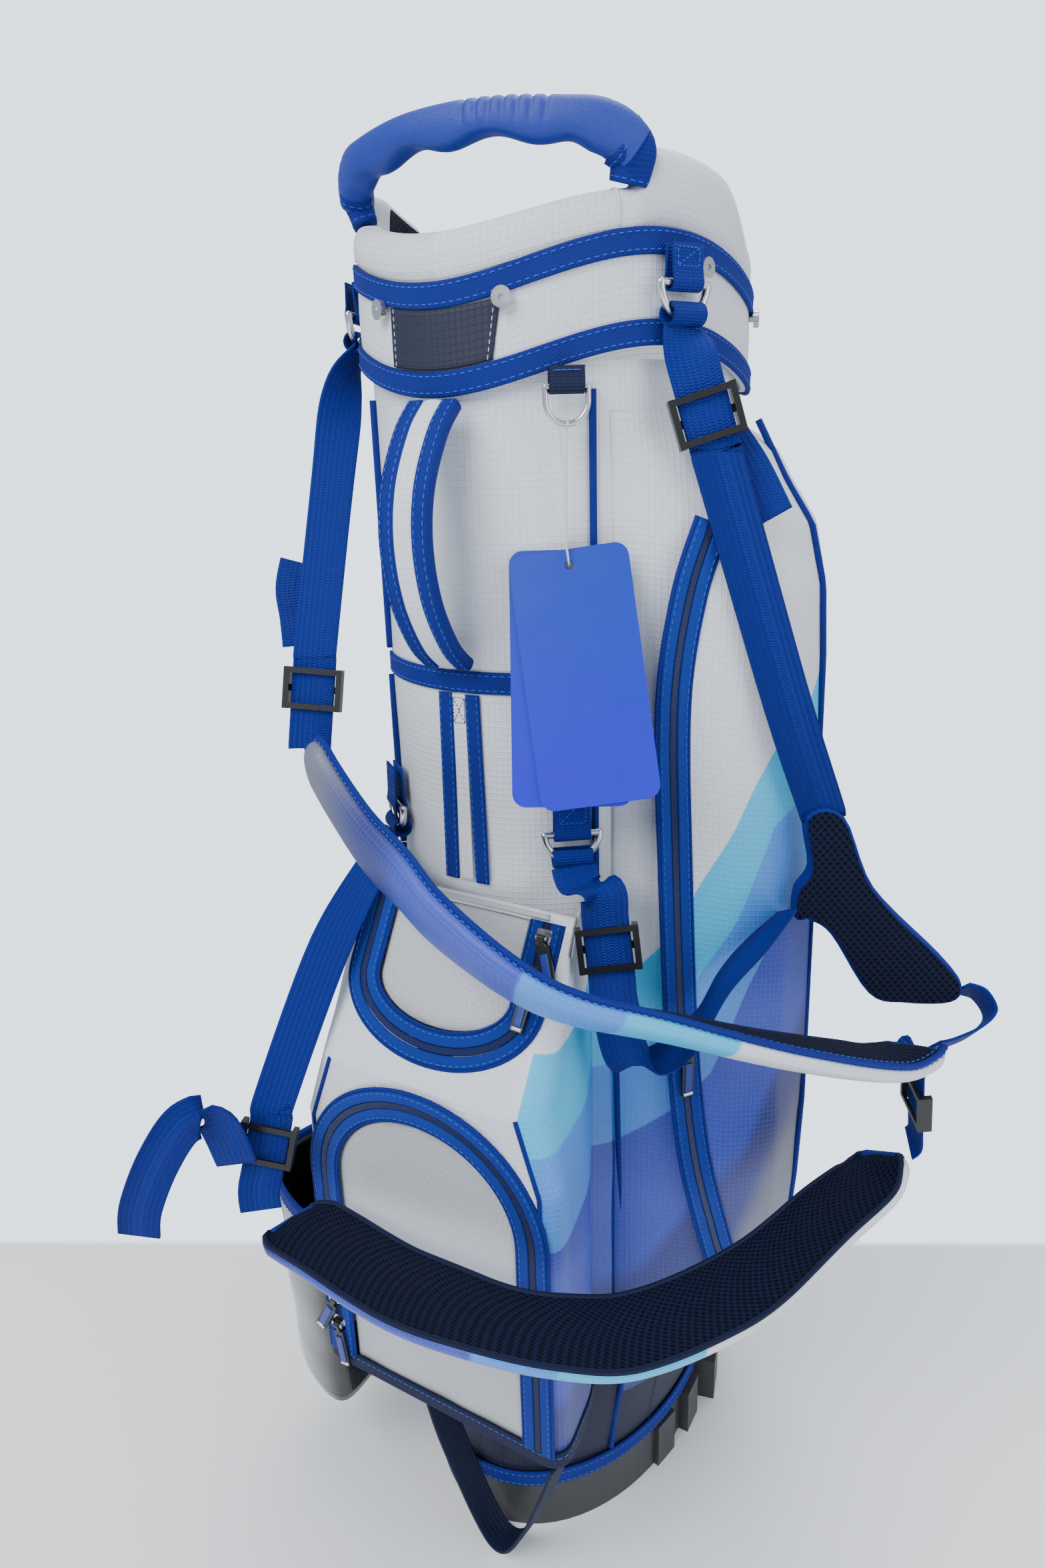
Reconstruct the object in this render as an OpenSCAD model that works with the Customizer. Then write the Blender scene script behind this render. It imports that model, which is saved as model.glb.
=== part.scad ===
// Golf bag, free standing, with a four-point shoulder harness and a hang tag.
// Millimetres, +Z up, origin at the middle of the base's underside.
// The front, with the ball pockets and the carry handle, faces -Y. The garment pocket is at +X.
// Places on the tube are given by a heading: 0 at the front, +90 at the right, 180 at the back.

/* [Tube] */
// Half width of the tube, left to right
tube_ax = 99; // [98:0.5:100]
// Half depth of the tube, front to back
tube_ay = 116; // [115:0.5:117]
// Thickness of the laminated tube wall
wall = 3; // [2:0.5:3.5]
// Height where the tube ends inside the collar
tube_top = 746; // [744:1:748]

/* [Base] */
// Half width of the moulded base, left to right
base_ax = 91; // [90:0.5:92]
// Half depth of the moulded base, front to back
base_ay = 132; // [131:0.5:133]
// Height of the moulded base
base_h = 44; // [43:0.5:45]
// Height where the navy skirt ends and the tube begins
skirt_top = 118; // [116:1:120]

/* [Collar] */
// Mean height of the lower binding
low_z = 746.5; // [745:0.5:748]
// Mean height of the upper binding's top edge
high_z = 792; // [790:0.5:794]
// Rise and fall of the two bindings around the collar
wave = 10.5; // [9:0.5:11]
// Height of a binding tape
tape_h = 12; // [10:0.5:13]

/* [Pockets] */
// Distance from the axis to the lower ball pocket's front
pocket_y = 178; // [177:0.5:179]
// Half width of the lower ball pocket's door, zip included
arch_w = 84; // [82:0.5:85]
// Width of a zip with its two tapes
zip_w = 22; // [20:0.5:22]
// Tilt of the upper flap from upright
flap_tilt = 31; // [30:0.5:32]

/* [Harness] */
// Width of the harness webbing
web_w = 25; // [22:0.5:25]
// Thickness of the harness webbing
web_t = 2; // [1.6:0.1:2.2]
// Width of a padded shoulder strap
pad_w = 54; // [48:1:56]
// Thickness of a padded shoulder strap
pad_t = 13; // [10:0.5:14]

/* [Hardware] */
// Radius of the D-ring wire
wire_r = 2; // [1.6:0.1:2]
// Radius of a D-ring's arc
ring_r = 15; // [14:0.5:16]
// Diameter of a collar screw's head
screw_d = 9.5; // [8:0.5:10]
// Width of the hang tag
tag_w = 60; // [56:1:62]
// Height of the hang tag
tag_h = 128; // [120:1:130]

/* [Hidden] */

gap = 0.5;
turn = 5;
up = [0, 0, 1];
cord_r = 0.6;
tab_heading = 60;
low_tab_heading = 30;
upper_bar_z = 778;
lower_bar_z = 507;
towel_bar_z = 735;
screw_headings = [-70, -16.5, 16.5, 70, 112, 150, -112, -150];
low_off = 6.5;
skirt_ay = 124;
toward = [0.482, -0.876, 0];
lateral = [0.876, 0.482, 0];
flap_pivot = [0, -119, 466];
door_pivot = [0, -pocket_y, 150];
arch_mid = 292;
arch_top = 78;

// Route of the tag's cord, from the towel ring down through the tag's hole.
CORD = [
    [60.6, -109, 713.5], [60.3, -107.8, 702.7], [60.1, -106.6, 691.9], [59.8, -105.4, 681.1],
    [59.5, -104.1, 670.3], [59.2, -102.9, 659.5], [60.5, -103.9, 654.4], [60.6, -103.5, 651.6],
    [60, -102.1, 650.3], [59.3, -100.8, 649.8], [58.5, -99.3, 650], [57.5, -98.3, 652.3],
    [56.6, -97.9, 657.7], [57.8, -99.8, 668.8], [59, -101.6, 680], [60.2, -103.5, 691.2],
    [61.4, -105.3, 702.3], [62.6, -107.2, 713.5]
];

function unit(v) = v / norm(v);
function param(b) = atan2(tube_ay * sin(b), tube_ax * cos(b));
function on_oval(t, ax, ay, z) = [ax * sin(t), -ay * cos(t), z];
function on_tube(b, off, z) = on_oval(param(b), tube_ax + off, tube_ay + off, z);
function out_of(b) = unit([sin(param(b)) / tube_ax, -cos(param(b)) / tube_ay, 0]);
function along(b) = cross(up, out_of(b));
function low_edge(t) = low_z - wave * cos(3 * t);
function high_edge(t) = high_z - wave * cos(3 * t);
function smooth(u) = let (v = min(max(u, 0), 1)) v * v * (3 - 2 * v);
function hump(t) = let (a = abs(t > 180 ? t - 360 : t)) smooth((a - 52) / 8) * smooth((104 - a) / 20);
function rim_edge(t) = 811 - 8 * cos(3 * t) + 17 * hump(t);
function bend(a, b, c, d, u) =
    0.5 * (2 * b + (c - a) * u + (2 * a - 5 * b + 4 * c - d) * u * u + (3 * b - a - 3 * c + d) * u * u * u);
function spline(p, n) = [
    for (i = [0:len(p) - 2]) for (s = [0:n - 1])
        bend(p[max(i - 1, 0)], p[i], p[i + 1], p[min(i + 2, len(p) - 1)], s / n),
    p[len(p) - 1]
];
function through(c, d) = [c + 30 * d, c + 15 * d, c - 15 * d, c - 30 * d];
function heading_of(p, i) = unit(p[min(i + 1, len(p) - 1)] - p[max(i - 1, 0)]);
function square_to(v, t) = unit(v - (v * t) * t);
FLAT = [[1, -1], [1, 1], [-1, 1], [-1, -1]];
PADDED = [[1, -0.3], [1, 0.3], [0.7, 1], [-0.7, 1], [-1, 0.3], [-1, -0.3], [-0.7, -1], [0.7, -1]];
ROUND = [for (k = [0:7]) [cos(45 * k), sin(45 * k)]];
function section(p, t, w, half_w, half_t, shape) =
    let (s = square_to(w, t), n = cross(t, s)) [for (q = shape) p + s * q[0] * half_w + n * q[1] * half_t];

// A closed band: loops of points around the bag, each wound outside, down, inside, up.
module band(loops) {
    m = len(loops);
    k = len(loops[0]);
    faces = [
        for (i = [0:m - 1]) for (j = [0:k - 1])
            let (a = i * k + j, b = i * k + (j + 1) % k, n = (i + 1) % m)
            each [[a, n * k + (j + 1) % k, b], [a, n * k + j, n * k + (j + 1) % k]]
    ];
    polyhedron(points = [for (loop = loops) each loop], faces = faces);
}

// An open run of sections with two flat ends.
module run(loops) {
    m = len(loops);
    k = len(loops[0]);
    sides = [
        for (i = [0:m - 2]) for (j = [0:k - 1])
            let (a = i * k + j, b = i * k + (j + 1) % k, n = i + 1)
            each [[a, n * k + (j + 1) % k, b], [a, n * k + j, n * k + (j + 1) % k]]
    ];
    start = [for (j = [0:k - 1]) j];
    end = [for (j = [k - 1:-1:0]) (m - 1) * k + j];
    polyhedron(points = [for (loop = loops) each loop], faces = concat([start], sides, [end]));
}

// Webbing or a pad swept along a smoothed route. across is one width direction, or one per point.
module sweep(route, across, w, t, shape = FLAT, n = 3) {
    p = spline(route, n);
    many = is_list(across[0]);
    a = many ? spline(across, n) : across;
    run([for (i = [0:len(p) - 1]) section(p[i], heading_of(p, i), many ? a[i] : a, w / 2, t / 2, shape)]);
}

// Moves children so that their X, Y lie along xd, yd at point p.
module place(p, xd, yd) {
    zd = cross(xd, yd);
    translate(p) rotate([atan2(yd[2], zd[2]), -asin(xd[2]), atan2(xd[1], xd[0])]) children();
}

module oval(ax, ay) {
    polygon([for (t = [0:turn:360 - turn]) [ax * sin(t), -ay * cos(t)]]);
}

module oval_tube(ax, ay, t, z0, z1) {
    translate([0, 0, z0]) linear_extrude(z1 - z0) difference() {
        oval(ax, ay);
        oval(ax - t, ay - t);
    }
}

// A wavy tape around the collar, between two heights that change with the heading.
module tape(off, thick, low, high) {
    band([
        for (t = [0:turn:360 - turn])
            let (o = off + thick)
            [on_oval(t, tube_ax + o, tube_ay + o, high(t)), on_oval(t, tube_ax + o, tube_ay + o, low(t)),
             on_oval(t, tube_ax + off, tube_ay + off, low(t)), on_oval(t, tube_ax + off, tube_ay + off, high(t))]
    ]);
}

// A patch of tape between two headings.
module patch(b0, b1, off, thick, low, high) {
    run([
        for (i = [0:8])
            let (t = b0 + (b1 - b0) * i / 8, o = off + thick)
            [on_oval(t, tube_ax + o, tube_ay + o, high(t)), on_oval(t, tube_ax + o, tube_ay + o, low(t)),
             on_oval(t, tube_ax + off, tube_ay + off, low(t)), on_oval(t, tube_ax + off, tube_ay + off, high(t))]
    ]);
}

module base_rib(b, reach, width) {
    t = param(b);
    p = on_oval(t, base_ax - 3, base_ay - 3, 0);
    place(p, along(b), -out_of(b)) rotate([180, 0, 0]) translate([-width / 2, 0, -base_h + 8])
        cube([width, reach + 3, base_h - 8]);
}

module base_boot() {
    color([0.16, 0.16, 0.17]) difference() {
        union() {
            linear_extrude(base_h) oval(base_ax, base_ay);
            for (s = [-1, 1]) {
                base_rib(s * 74, 4, 20);
                base_rib(s * 92, 7, 20);
                base_rib(s * 110, 15, 26);
            }
        }
        translate([0, 0, 4]) linear_extrude(base_h) oval(base_ax - wall, base_ay - wall);
    }
}

module base_binding() {
    color([0.1, 0.22, 0.75]) oval_tube(base_ax + 2.5, base_ay + 2.5, 2, 38, 38 + tape_h);
}

module skirt() {
    color([0.06, 0.07, 0.16]) band([
        for (t = [0:turn:360 - turn])
            [on_oval(t, tube_ax, tube_ay, skirt_top),
             on_oval(t, base_ax - 1, base_ay - 1, base_h + gap),
             on_oval(t, base_ax - 1 - wall, base_ay - 1 - wall, base_h + gap),
             on_oval(t, tube_ax - wall, tube_ay - wall, skirt_top)]
    ]);
}

module tube_shell() {
    color([0.92, 0.93, 0.95]) oval_tube(tube_ax, tube_ay, wall, skirt_top + gap, tube_top);
}

module stay_rods() {
    color([0.75, 0.76, 0.7]) for (s = [-1, 1]) translate([s * 62, 74, 4.5]) cylinder(h = 712, r = 4, $fn = 32);
}

module divider_frame() {
    color([0.12, 0.14, 0.3]) translate([0, 0, 720]) linear_extrude(20) {
        difference() {
            oval(tube_ax - wall - gap, tube_ay - wall - gap);
            oval(tube_ax - wall - 6, tube_ay - wall - 6);
        }
        square([6, 2 * (tube_ay - wall - 3)], center = true);
        square([2 * (tube_ax - wall - 3), 6], center = true);
    }
}

module divider_panels() {
    color([0.2, 0.22, 0.28]) translate([0, 0, 60]) linear_extrude(659) {
        square([2, 2 * (base_ax + 18)], center = true);
        square([2 * (base_ax - 7), 2], center = true);
    }
}

module collar() {
    color([0.94, 0.95, 0.97]) tape(gap, 4, function(t) low_edge(t) - 4, function(t) high_edge(t) - 4);
}

module collar_lower_binding() {
    color([0.1, 0.22, 0.75])
        tape(5, 2, function(t) low_edge(t) - tape_h / 2, function(t) low_edge(t) + tape_h / 2);
}

module collar_upper_binding() {
    color([0.1, 0.22, 0.75]) tape(5, 2, function(t) high_edge(t) - tape_h, function(t) high_edge(t));
}

module rim_pad() {
    function low(t) = high_edge(t) - 3.5;
    function ring(t, off, z) = on_oval(t, tube_ax + off, tube_ay + off, z);
    color([0.95, 0.96, 0.98]) band([
        for (t = [0:turn:360 - turn])
            let (z = rim_edge(t), f = low(t))
            [ring(t, 1, z - 3), ring(t, 4, z - 9), ring(t, 4, f), ring(t, -11, f),
             ring(t, -14, z - 9), ring(t, -11, z - 2), ring(t, -5, z)]
    ]);
}

module collar_patch() {
    color([0.06, 0.08, 0.2])
        patch(-16, 16, 5, 1.5, function(t) low_edge(t) + 7, function(t) high_edge(t) - 13);
}

module collar_screws() {
    color([0.78, 0.79, 0.8]) for (b = screw_headings)
        place(on_tube(b, 7.6, high_edge(param(b)) - 14), along(b), up) rotate([180, 0, 0]) difference() {
            union() {
                translate([0, 0, -2.8]) cylinder(h = 2.8, d = screw_d, $fn = 40);
                cylinder(h = 2.2, d = 4, $fn = 32);
            }
            translate([0, 0, -3]) cylinder(h = 2, d = 3.4, $fn = 6);
        }
}

GRIP = [
    [-80, -73, 833], [-74, -80, 840], [-60, -89, 845], [-40, -96.5, 847.5], [-20, -101.5, 848.7], [0, -103, 849],
    [20, -101.5, 848.7], [40, -96.5, 847.5], [60, -89, 845], [74, -80, 840], [80, -73, 833]
];

module handle_grip() {
    p = spline(GRIP, 5);
    m = len(p) - 1;
    color([0.12, 0.25, 0.8]) run([
        for (i = [0:m])
            let (t = heading_of(p, i), u = i / m, span = smooth((u - 0.14) / 0.1) * smooth((0.86 - u) / 0.1),
                 dip = span * 2 * cos(360 * 4.5 * (u - 0.5)), w = square_to([p[i][0] / 99, p[i][1] / 116, 0], t),
                 n = cross(t, w), flat = 1 - 0.2 * span)
            [for (q = ROUND) p[i] + w * q[0] * 10 + n * (q[1] * 11.5 * flat + (q[1] < -0.5 ? dip : 0))]
    ]);
}

module handle_sleeves() {
    color([0.1, 0.22, 0.75]) for (s = [-1, 1])
        sweep([[s * 81, -72, 831], [s * 79.8, -71.6, 828.8], [s * 78.4, -71.3, 826.6]], [s * 0.62, 0.78, 0], 15, 9, PADDED);
}

module handle_webbing() {
    color([0.06, 0.08, 0.18]) for (s = [-1, 1])
        sweep([[s * 70, -47, 790], [s * 62, -62, 788], [s * 46, -80, 786]], up, 24, 2, n = 2);
}

module carry_handle() {
    color([0.9, 0.92, 0.96])
        sweep([[0, -124, 727], [0, -138, 714], [0, -151, 690], [0, -155, 664], [0, -150, 636], [0, -137, 612],
               [0, -124, 600]], [1, 0, 0], 30, 7, PADDED);
}

module front_stripe() {
    color([0.1, 0.22, 0.75])
        sweep([[0, -tube_ay - 1.6, 580], [0, -tube_ay - 1.6, 475]], [1, 0, 0], 26, 2, n = 1);
}

module mid_band() {
    color([0.1, 0.22, 0.75]) patch(-42, 42, gap, 1.6, function(t) 583, function(t) 595);
}

module side_piping() {
    color([0.1, 0.22, 0.75]) for (s = [-1, 1])
        sweep([for (z = [478, 520, 560, 578]) on_tube(s * 37, 2.3, z)], [1, 0, 0], 3.4, 3.4, ROUND, 1);
    color([0.1, 0.22, 0.75]) for (s = [-1, 1])
        sweep([for (z = [600, 650, 700, 728]) on_tube(s * 37, 2.3, z)], [1, 0, 0], 3.4, 3.4, ROUND, 1);
}

// A tab with the sleeve that a D-ring's bar turns in. Local: bar along X, tab rising along Y.
module d_tab(height) {
    translate([-10, 3.2, -1.6]) cube([20, height, 3.2]);
    difference() {
        rotate([0, 90, 0]) cylinder(h = 20, r = wire_r + 2.2, center = true, $fn = 40);
        rotate([0, 90, 0]) cylinder(h = 24, r = wire_r + 0.4, center = true, $fn = 40);
    }
}

module at_ring(b, off, z) {
    place(on_tube(b, off, z), along(b), up) children();
}

module upper_d_tabs() {
    color([0.1, 0.22, 0.75]) for (s = [-1, 1]) at_ring(s * tab_heading, 12, upper_bar_z) d_tab(14.5);
}

module lower_d_tabs() {
    color([0.1, 0.22, 0.75]) for (s = [-1, 1]) at_ring(s * low_tab_heading, low_off, lower_bar_z) d_tab(22);
}

module towel_loop() {
    color([0.06, 0.08, 0.18]) at_ring(low_tab_heading, 12, towel_bar_z - 2) difference() {
        rotate([0, 90, 0]) cylinder(h = 17, r = 3.8, center = true, $fn = 40);
        rotate([0, 90, 0]) cylinder(h = 19, r = 2.2, center = true, $fn = 40);
    }
}

// D-ring: a straight bar along X, two legs and an arc below it.
module d_ring(r, w, leg = 0) {
    rotate([0, 90, 0]) cylinder(h = 2 * r, r = w, center = true, $fn = 32);
    translate([0, -leg, 0]) rotate([0, 0, 180]) rotate_extrude(angle = 180, $fn = 64) translate([r, 0])
        circle(r = w, $fn = 24);
    for (s = [-1, 1]) translate([s * r, 0, 0]) {
        sphere(r = w, $fn = 32);
        if (leg > 0) rotate([90, 0, 0]) cylinder(h = leg, r = w, $fn = 24);
    }
}

module upper_ring_left() {
    color([0.8, 0.81, 0.83]) at_ring(-tab_heading, 12, upper_bar_z) d_ring(ring_r, wire_r);
}

module upper_ring_right() {
    color([0.8, 0.81, 0.83]) at_ring(tab_heading, 12, upper_bar_z) d_ring(ring_r, wire_r);
}

module lower_ring_left() {
    color([0.8, 0.81, 0.83]) at_ring(-low_tab_heading, low_off, lower_bar_z) d_ring(ring_r, wire_r);
}

module lower_ring_right() {
    color([0.8, 0.81, 0.83]) at_ring(low_tab_heading, low_off, lower_bar_z) d_ring(ring_r, wire_r);
}

module towel_ring() {
    color([0.8, 0.81, 0.83]) at_ring(low_tab_heading, 12, towel_bar_z - 2) d_ring(10.2, 1.4, 6.5);
}

// Half outline of the lower door's arch: straight sides and an elliptical top.
function arch_points(w, z0, top) = [
    [-w, z0], [w, z0], for (k = [0:5:180]) [w * cos(k), arch_mid + top * sin(k)]
];

// The upper flap's U, hanging down from v0 in the flap's own plane.
function u_points(w, v0, deep) = [
    [w, -v0], [-w, -v0], for (k = [180:5:360]) [w * cos(k), -52 + deep * sin(k)]
];

module pocket_level(z, front, w, side) {
    translate([0, 0, z]) linear_extrude(0.1)
        polygon([[-w, -front], [w, -front], [side, -min(front, 130)], [62, -90], [-62, -90],
                 [-side, -min(front, 130)]]);
}

// Outside of the ball pocket, drawn in by inset.
module pocket_form(inset) {
    hull() {
        pocket_level(84 + inset, 122 - inset, 58 - inset, 66 - inset);
        pocket_level(146 + inset, pocket_y - inset, 89 - inset, 82 - inset);
        pocket_level(330, pocket_y - inset, 89 - inset, 82 - inset);
        pocket_level(372, 175.5 - inset, 74 - inset, 80 - inset);
        pocket_level(466 - inset, 119 - inset, 72 - inset, 70 - inset);
    }
}

// Draws children on the upper flap's slope: X to the right, Y up the slope, Z outwards.
module on_flap() {
    place(flap_pivot, [1, 0, 0], [0, sin(flap_tilt), cos(flap_tilt)]) children();
}

// Draws children on the lower door's face: X to the right, Y up, Z outwards.
module on_door(y) {
    translate([0, -y, 0]) rotate([90, 0, 0]) children();
}

module ball_pocket() {
    color([0.88, 0.92, 0.97]) difference() {
        pocket_form(0);
        pocket_form(2.5);
        translate([0, 0, 60]) linear_extrude(430) oval(tube_ax + gap, tube_ay + gap);
        translate([0, 0, 60]) linear_extrude(skirt_top - 59) oval(tube_ax + gap, skirt_ay);
        on_door(pocket_y - 10) linear_extrude(20) polygon(arch_points(arch_w, 150, arch_top));
        on_flap() translate([0, 0, -8]) linear_extrude(16) polygon(u_points(66, 4, 46));
    }
}

module upper_flap() {
    color([0.9, 0.91, 0.92]) on_flap() translate([0, 0, -2.6]) linear_extrude(2.4)
        polygon(u_points(66 - zip_w - gap, 6, 46 - zip_w - gap));
}

module upper_zip() {
    color([0.08, 0.2, 0.7]) on_flap() translate([0, 0, -2.2]) linear_extrude(1.8) difference() {
        polygon(u_points(66 - gap, 5, 46 - gap));
        polygon(u_points(66 - zip_w, 3, 47 - zip_w));
        translate([-66 + zip_w, -10, 0]) square([2 * (66 - zip_w), 10]);
    }
}

module lower_door() {
    color([0.9, 0.91, 0.92]) on_door(pocket_y - 2.6) linear_extrude(2.4)
        polygon(arch_points(arch_w - zip_w - gap, 151, arch_top - zip_w - gap));
}

module lower_zip() {
    color([0.08, 0.2, 0.7]) on_door(pocket_y - 2.2) linear_extrude(1.8) difference() {
        polygon(arch_points(arch_w - gap, 151, arch_top - gap));
        polygon(arch_points(arch_w - zip_w, 140, arch_top - zip_w));
    }
}

// How far the garment pocket stands out from the tube at a heading, and how full it is at a height.
function reach(b) = lookup(b, [[42, 0], [57, 20], [70, 40], [84, 55], [95, 60], [107, 58], [120, 50], [135, 32], [150, 8]]);
function fullness(z) = lookup(z, [[95, 0.35], [130, 0.72], [175, 0.92], [240, 1], [300, 1.03], [470, 1],
                                  [590, 0.97], [630, 0.93], [662, 0.8], [685, 0.55], [719, 0.25]]);
GARMENT_LEVELS = [95, 130, 175, 240, 300, 470, 590, 630, 662, 685, 719];

module garment_form(inset) {
    hull() for (z = GARMENT_LEVELS)
        translate([0, 0, z == 95 ? z + inset : z == 719 ? z - inset : z]) linear_extrude(0.1) polygon([
            for (b = [44, 50, 57, 64, 70, 77, 84, 95, 107, 120, 135, 148])
                [for (i = [0:1]) on_tube(b, reach(b) * fullness(z) - inset, 0)[i]],
            [60, 60], [50, -60]
        ]);
}

ZIP_HEADINGS = [[196, 71], [240, 66], [300, 61], [379, 58], [483, 56], [574, 55], [631, 58], [668, 64]];

module garment_strip(w, t, off) {
    sweep([for (q = ZIP_HEADINGS) on_tube(q[1], reach(q[1]) * fullness(q[0]) + off, q[0])],
          [for (q = ZIP_HEADINGS) [0.6, 0.8, 0]], w, t, n = 2);
}

module garment_pocket() {
    color([0.75, 0.88, 0.97]) difference() {
        garment_form(0);
        garment_form(2.5);
        translate([0, 0, 60]) linear_extrude(700) oval(tube_ax + gap, tube_ay + gap);
        translate([0, 0, 60]) linear_extrude(skirt_top - 59) oval(tube_ax + gap, skirt_ay);
        garment_strip(9, 16, 0);
    }
}

module garment_zip() {
    color([0.08, 0.2, 0.7]) garment_strip(zip_w, 1.8, 4);
}

SIDE_OUTLINE = [
    [-91, -170], [-138, -156], [-163, -128], [-156, -86], [-120, -50], [-96, -46], [-84.5, -67],
    [-70, -93], [-85, -128]
];

module side_pocket() {
    middle = [-116, -106];
    color([0.04, 0.04, 0.05]) difference() {
        translate([0, 0, 86]) linear_extrude(150) polygon(SIDE_OUTLINE);
        translate([0, 0, 89]) linear_extrude(150) polygon([for (p = SIDE_OUTLINE) middle + 0.93 * (p - middle)]);
    }
}

module drag_loop() {
    color([0.06, 0.08, 0.18]) sweep(
        [[-14, -160, 130], [-10, -156, 100], [-2, -150, 60], [8, -146, 26], [20, -146, 9], [34, -149, 16],
         [50, -154, 48], [66, -158, 92], [77, -160, 126]],
        [0.15, 0.98, 0.05], 20, web_t);
}

function rounded_card(w, h, r) = [
    for (c = [[w / 2 - r, -r, 0], [-w / 2 + r, -r, 90], [-w / 2 + r, -h + r, 180], [w / 2 - r, -h + r, 270]])
        for (k = [0:15:90]) [c[0] + r * cos(c[2] + k), c[1] + r * sin(c[2] + k)]
];

tag_hole = [60, -102, 650];
tag_rise = unit([-32, 27, 119]);
tag_across = square_to([0.876, 0.482, 0.05], tag_rise);

module tag_card() {
    linear_extrude(0.6) difference() {
        translate([0, 8]) polygon(rounded_card(tag_w, tag_h, 7));
        circle(d = 4.6, $fn = 32);
    }
}

module hang_tag() {
    color([0.15, 0.25, 0.9]) place(tag_hole, tag_across, tag_rise) {
        tag_card();
        translate([0, 0, -1.6]) rotate([0, 0, -7]) tag_card();
    }
}

CORD_SIDES = 8;

module tag_cord() {
    p = spline(CORD, 2);
    color([0.9, 0.93, 0.95]) run([
        for (i = [0:len(p) - 1]) section(p[i], heading_of(p, i), [0.9, 0.1, 0.05], cord_r, cord_r, ROUND)
    ]);
}

// A zip slider: a body over the tape and a bail for the pull. Local: Y up the zip, Z outwards.
module slider() {
    color([0.78, 0.79, 0.8]) {
        translate([-4.5, -5, 0.4]) cube([9, 10, 1.8]);
        for (s = [-1, 1]) translate([s * 3.2 - 0.7, -1.4, 2]) cube([1.4, 2.8, 3.2]);
        translate([0, 0, 4.6]) rotate([0, 90, 0]) cylinder(h = 6.4, r = 0.9, center = true, $fn = 32);
    }
}

// The pull that swings on the bail. Local as the slider's, splayed to one side by an angle.
module pull(splay) {
    color([0.78, 0.79, 0.8]) translate([0, 0, 4.6]) {
        difference() {
            rotate([0, 90, 0]) cylinder(h = 3.8, r = 2.1, center = true, $fn = 32);
            rotate([0, 90, 0]) cylinder(h = 5, r = 1.2, center = true, $fn = 32);
        }
        rotate([0, 0, splay]) translate([-3.8, -31, -0.8]) cube([7.6, 26, 1.6]);
        rotate([0, 0, splay]) translate([-1.5, -6, -0.8]) cube([3, 4.3, 1.6]);
    }
}

zip_x = 66 - zip_w / 2;
arch_x = arch_w - zip_w / 2;

garment_z = 372;
module at_upper(v) {
    on_flap() translate([zip_x, -v, 0]) children();
}

module at_lower(z) {
    translate([-arch_x, -pocket_y, z]) rotate([90, 0, 0]) children();
}

garment_place = on_tube(58.5, reach(58.5) * fullness(garment_z) + 5.4, garment_z);

module at_garment() {
    place(garment_place, [0.6, 0.8, 0], up) children();
}

module upper_slider_a() { at_upper(14) slider(); }
module upper_slider_b() { at_upper(34) slider(); }
module lower_slider_a() { at_lower(196) slider(); }
module lower_slider_b() { at_lower(176) slider(); }
module garment_slider() { at_garment() slider(); }
module upper_pull_a() { at_upper(14) pull(26); }
module upper_pull_b() { at_upper(34) pull(-3); }
module lower_pull_a() { at_lower(196) pull(-27); }
module lower_pull_b() { at_lower(176) pull(8); }
module garment_pull() { at_garment() pull(0); }

module strap_a() {
    color([0.15, 0.3, 0.85]) sweep(
        [[-94, -132, 538], [-71, -141, 519], [-37, -157, 502], [-2, -172, 492], [25, -180, 479],
         [69, -185, 462], [97, -175, 449], [133, -143, 432], [179, -96, 405], [216, -41, 378], [232, -14, 374]],
        [for (k = [0.85, 0.85, 0.85, 0.82, 0.75, 0.65, 0.55, 0.45, 0.38, 0.34, 0.34]) sqrt(1 - k * k) * toward + k * up],
        pad_w, pad_t, PADDED, 2);
}

module strap_b() {
    color([0.06, 0.08, 0.18]) sweep(
        [[216, 6, 283], [212, -10, 274], [197, -40, 266], [176, -92, 258], [156, -137, 260], [130, -180, 267],
         [102, -212, 282], [65, -227, 289], [14, -226, 285], [-36, -219, 283], [-70, -214, 281]],
        0.99 * toward + 0.1 * up, pad_w, pad_t, PADDED, 2);
}

// Outline of the back pad, sideways and up.
PAD_OUTLINE = [
    [134, 506], [152, 506], [172, 462], [214, 418], [226, 402], [222, 392], [196, 392], [176, 398],
    [152, 436], [138, 446], [131, 447], [131, 462], [138, 476]
];

module back_pad() {
    color([0.06, 0.08, 0.18]) place(94 * toward, lateral, up)
        translate([0, 0, -6]) linear_extrude(12) polygon(PAD_OUTLINE);
}

// Webbing folded round a D-ring's arc: a sleeve with room for the ring to rock in.
module ring_loop(b, off, z) {
    at_ring(b, off, z - ring_r + 1.5) difference() {
        rotate([0, 90, 0]) cylinder(h = 18, r = 5.8, center = true, $fn = 40);
        rotate([0, 90, 0]) cylinder(h = 22, r = 4.2, center = true, $fn = 40);
    }
}

LOCK_A = [[-96, -124.5, 577], unit([-1, 15, 60])];
LOCK_B = [[-90, -206, 323], unit([4, 14, 46])];
GLIDE_UP = [[113.5, -58.5, 718], unit([-18, -3, 59])];
GLIDE_LOW = [[90, -120, 454], unit([-4, 3, 20])];
BUCKLE = [[231.6, 2.4, 334], unit([-1, -3, 24])];

module upper_webbing_right() {
    ring_loop(tab_heading, 12, upper_bar_z);
    route = concat([[99.8, -57, 758.4]], through(GLIDE_UP[0], GLIDE_UP[1]),
                   [[154, -39, 576], [169, -17, 514], [170, -14, 508]]);
    sweep(route, concat([along(tab_heading)], [for (i = [1:7]) lateral]), web_w, web_t);
    sweep([[117, -44, 708], [128, -42, 692], [140, -37, 668]], lateral, web_w, web_t);
}

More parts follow.
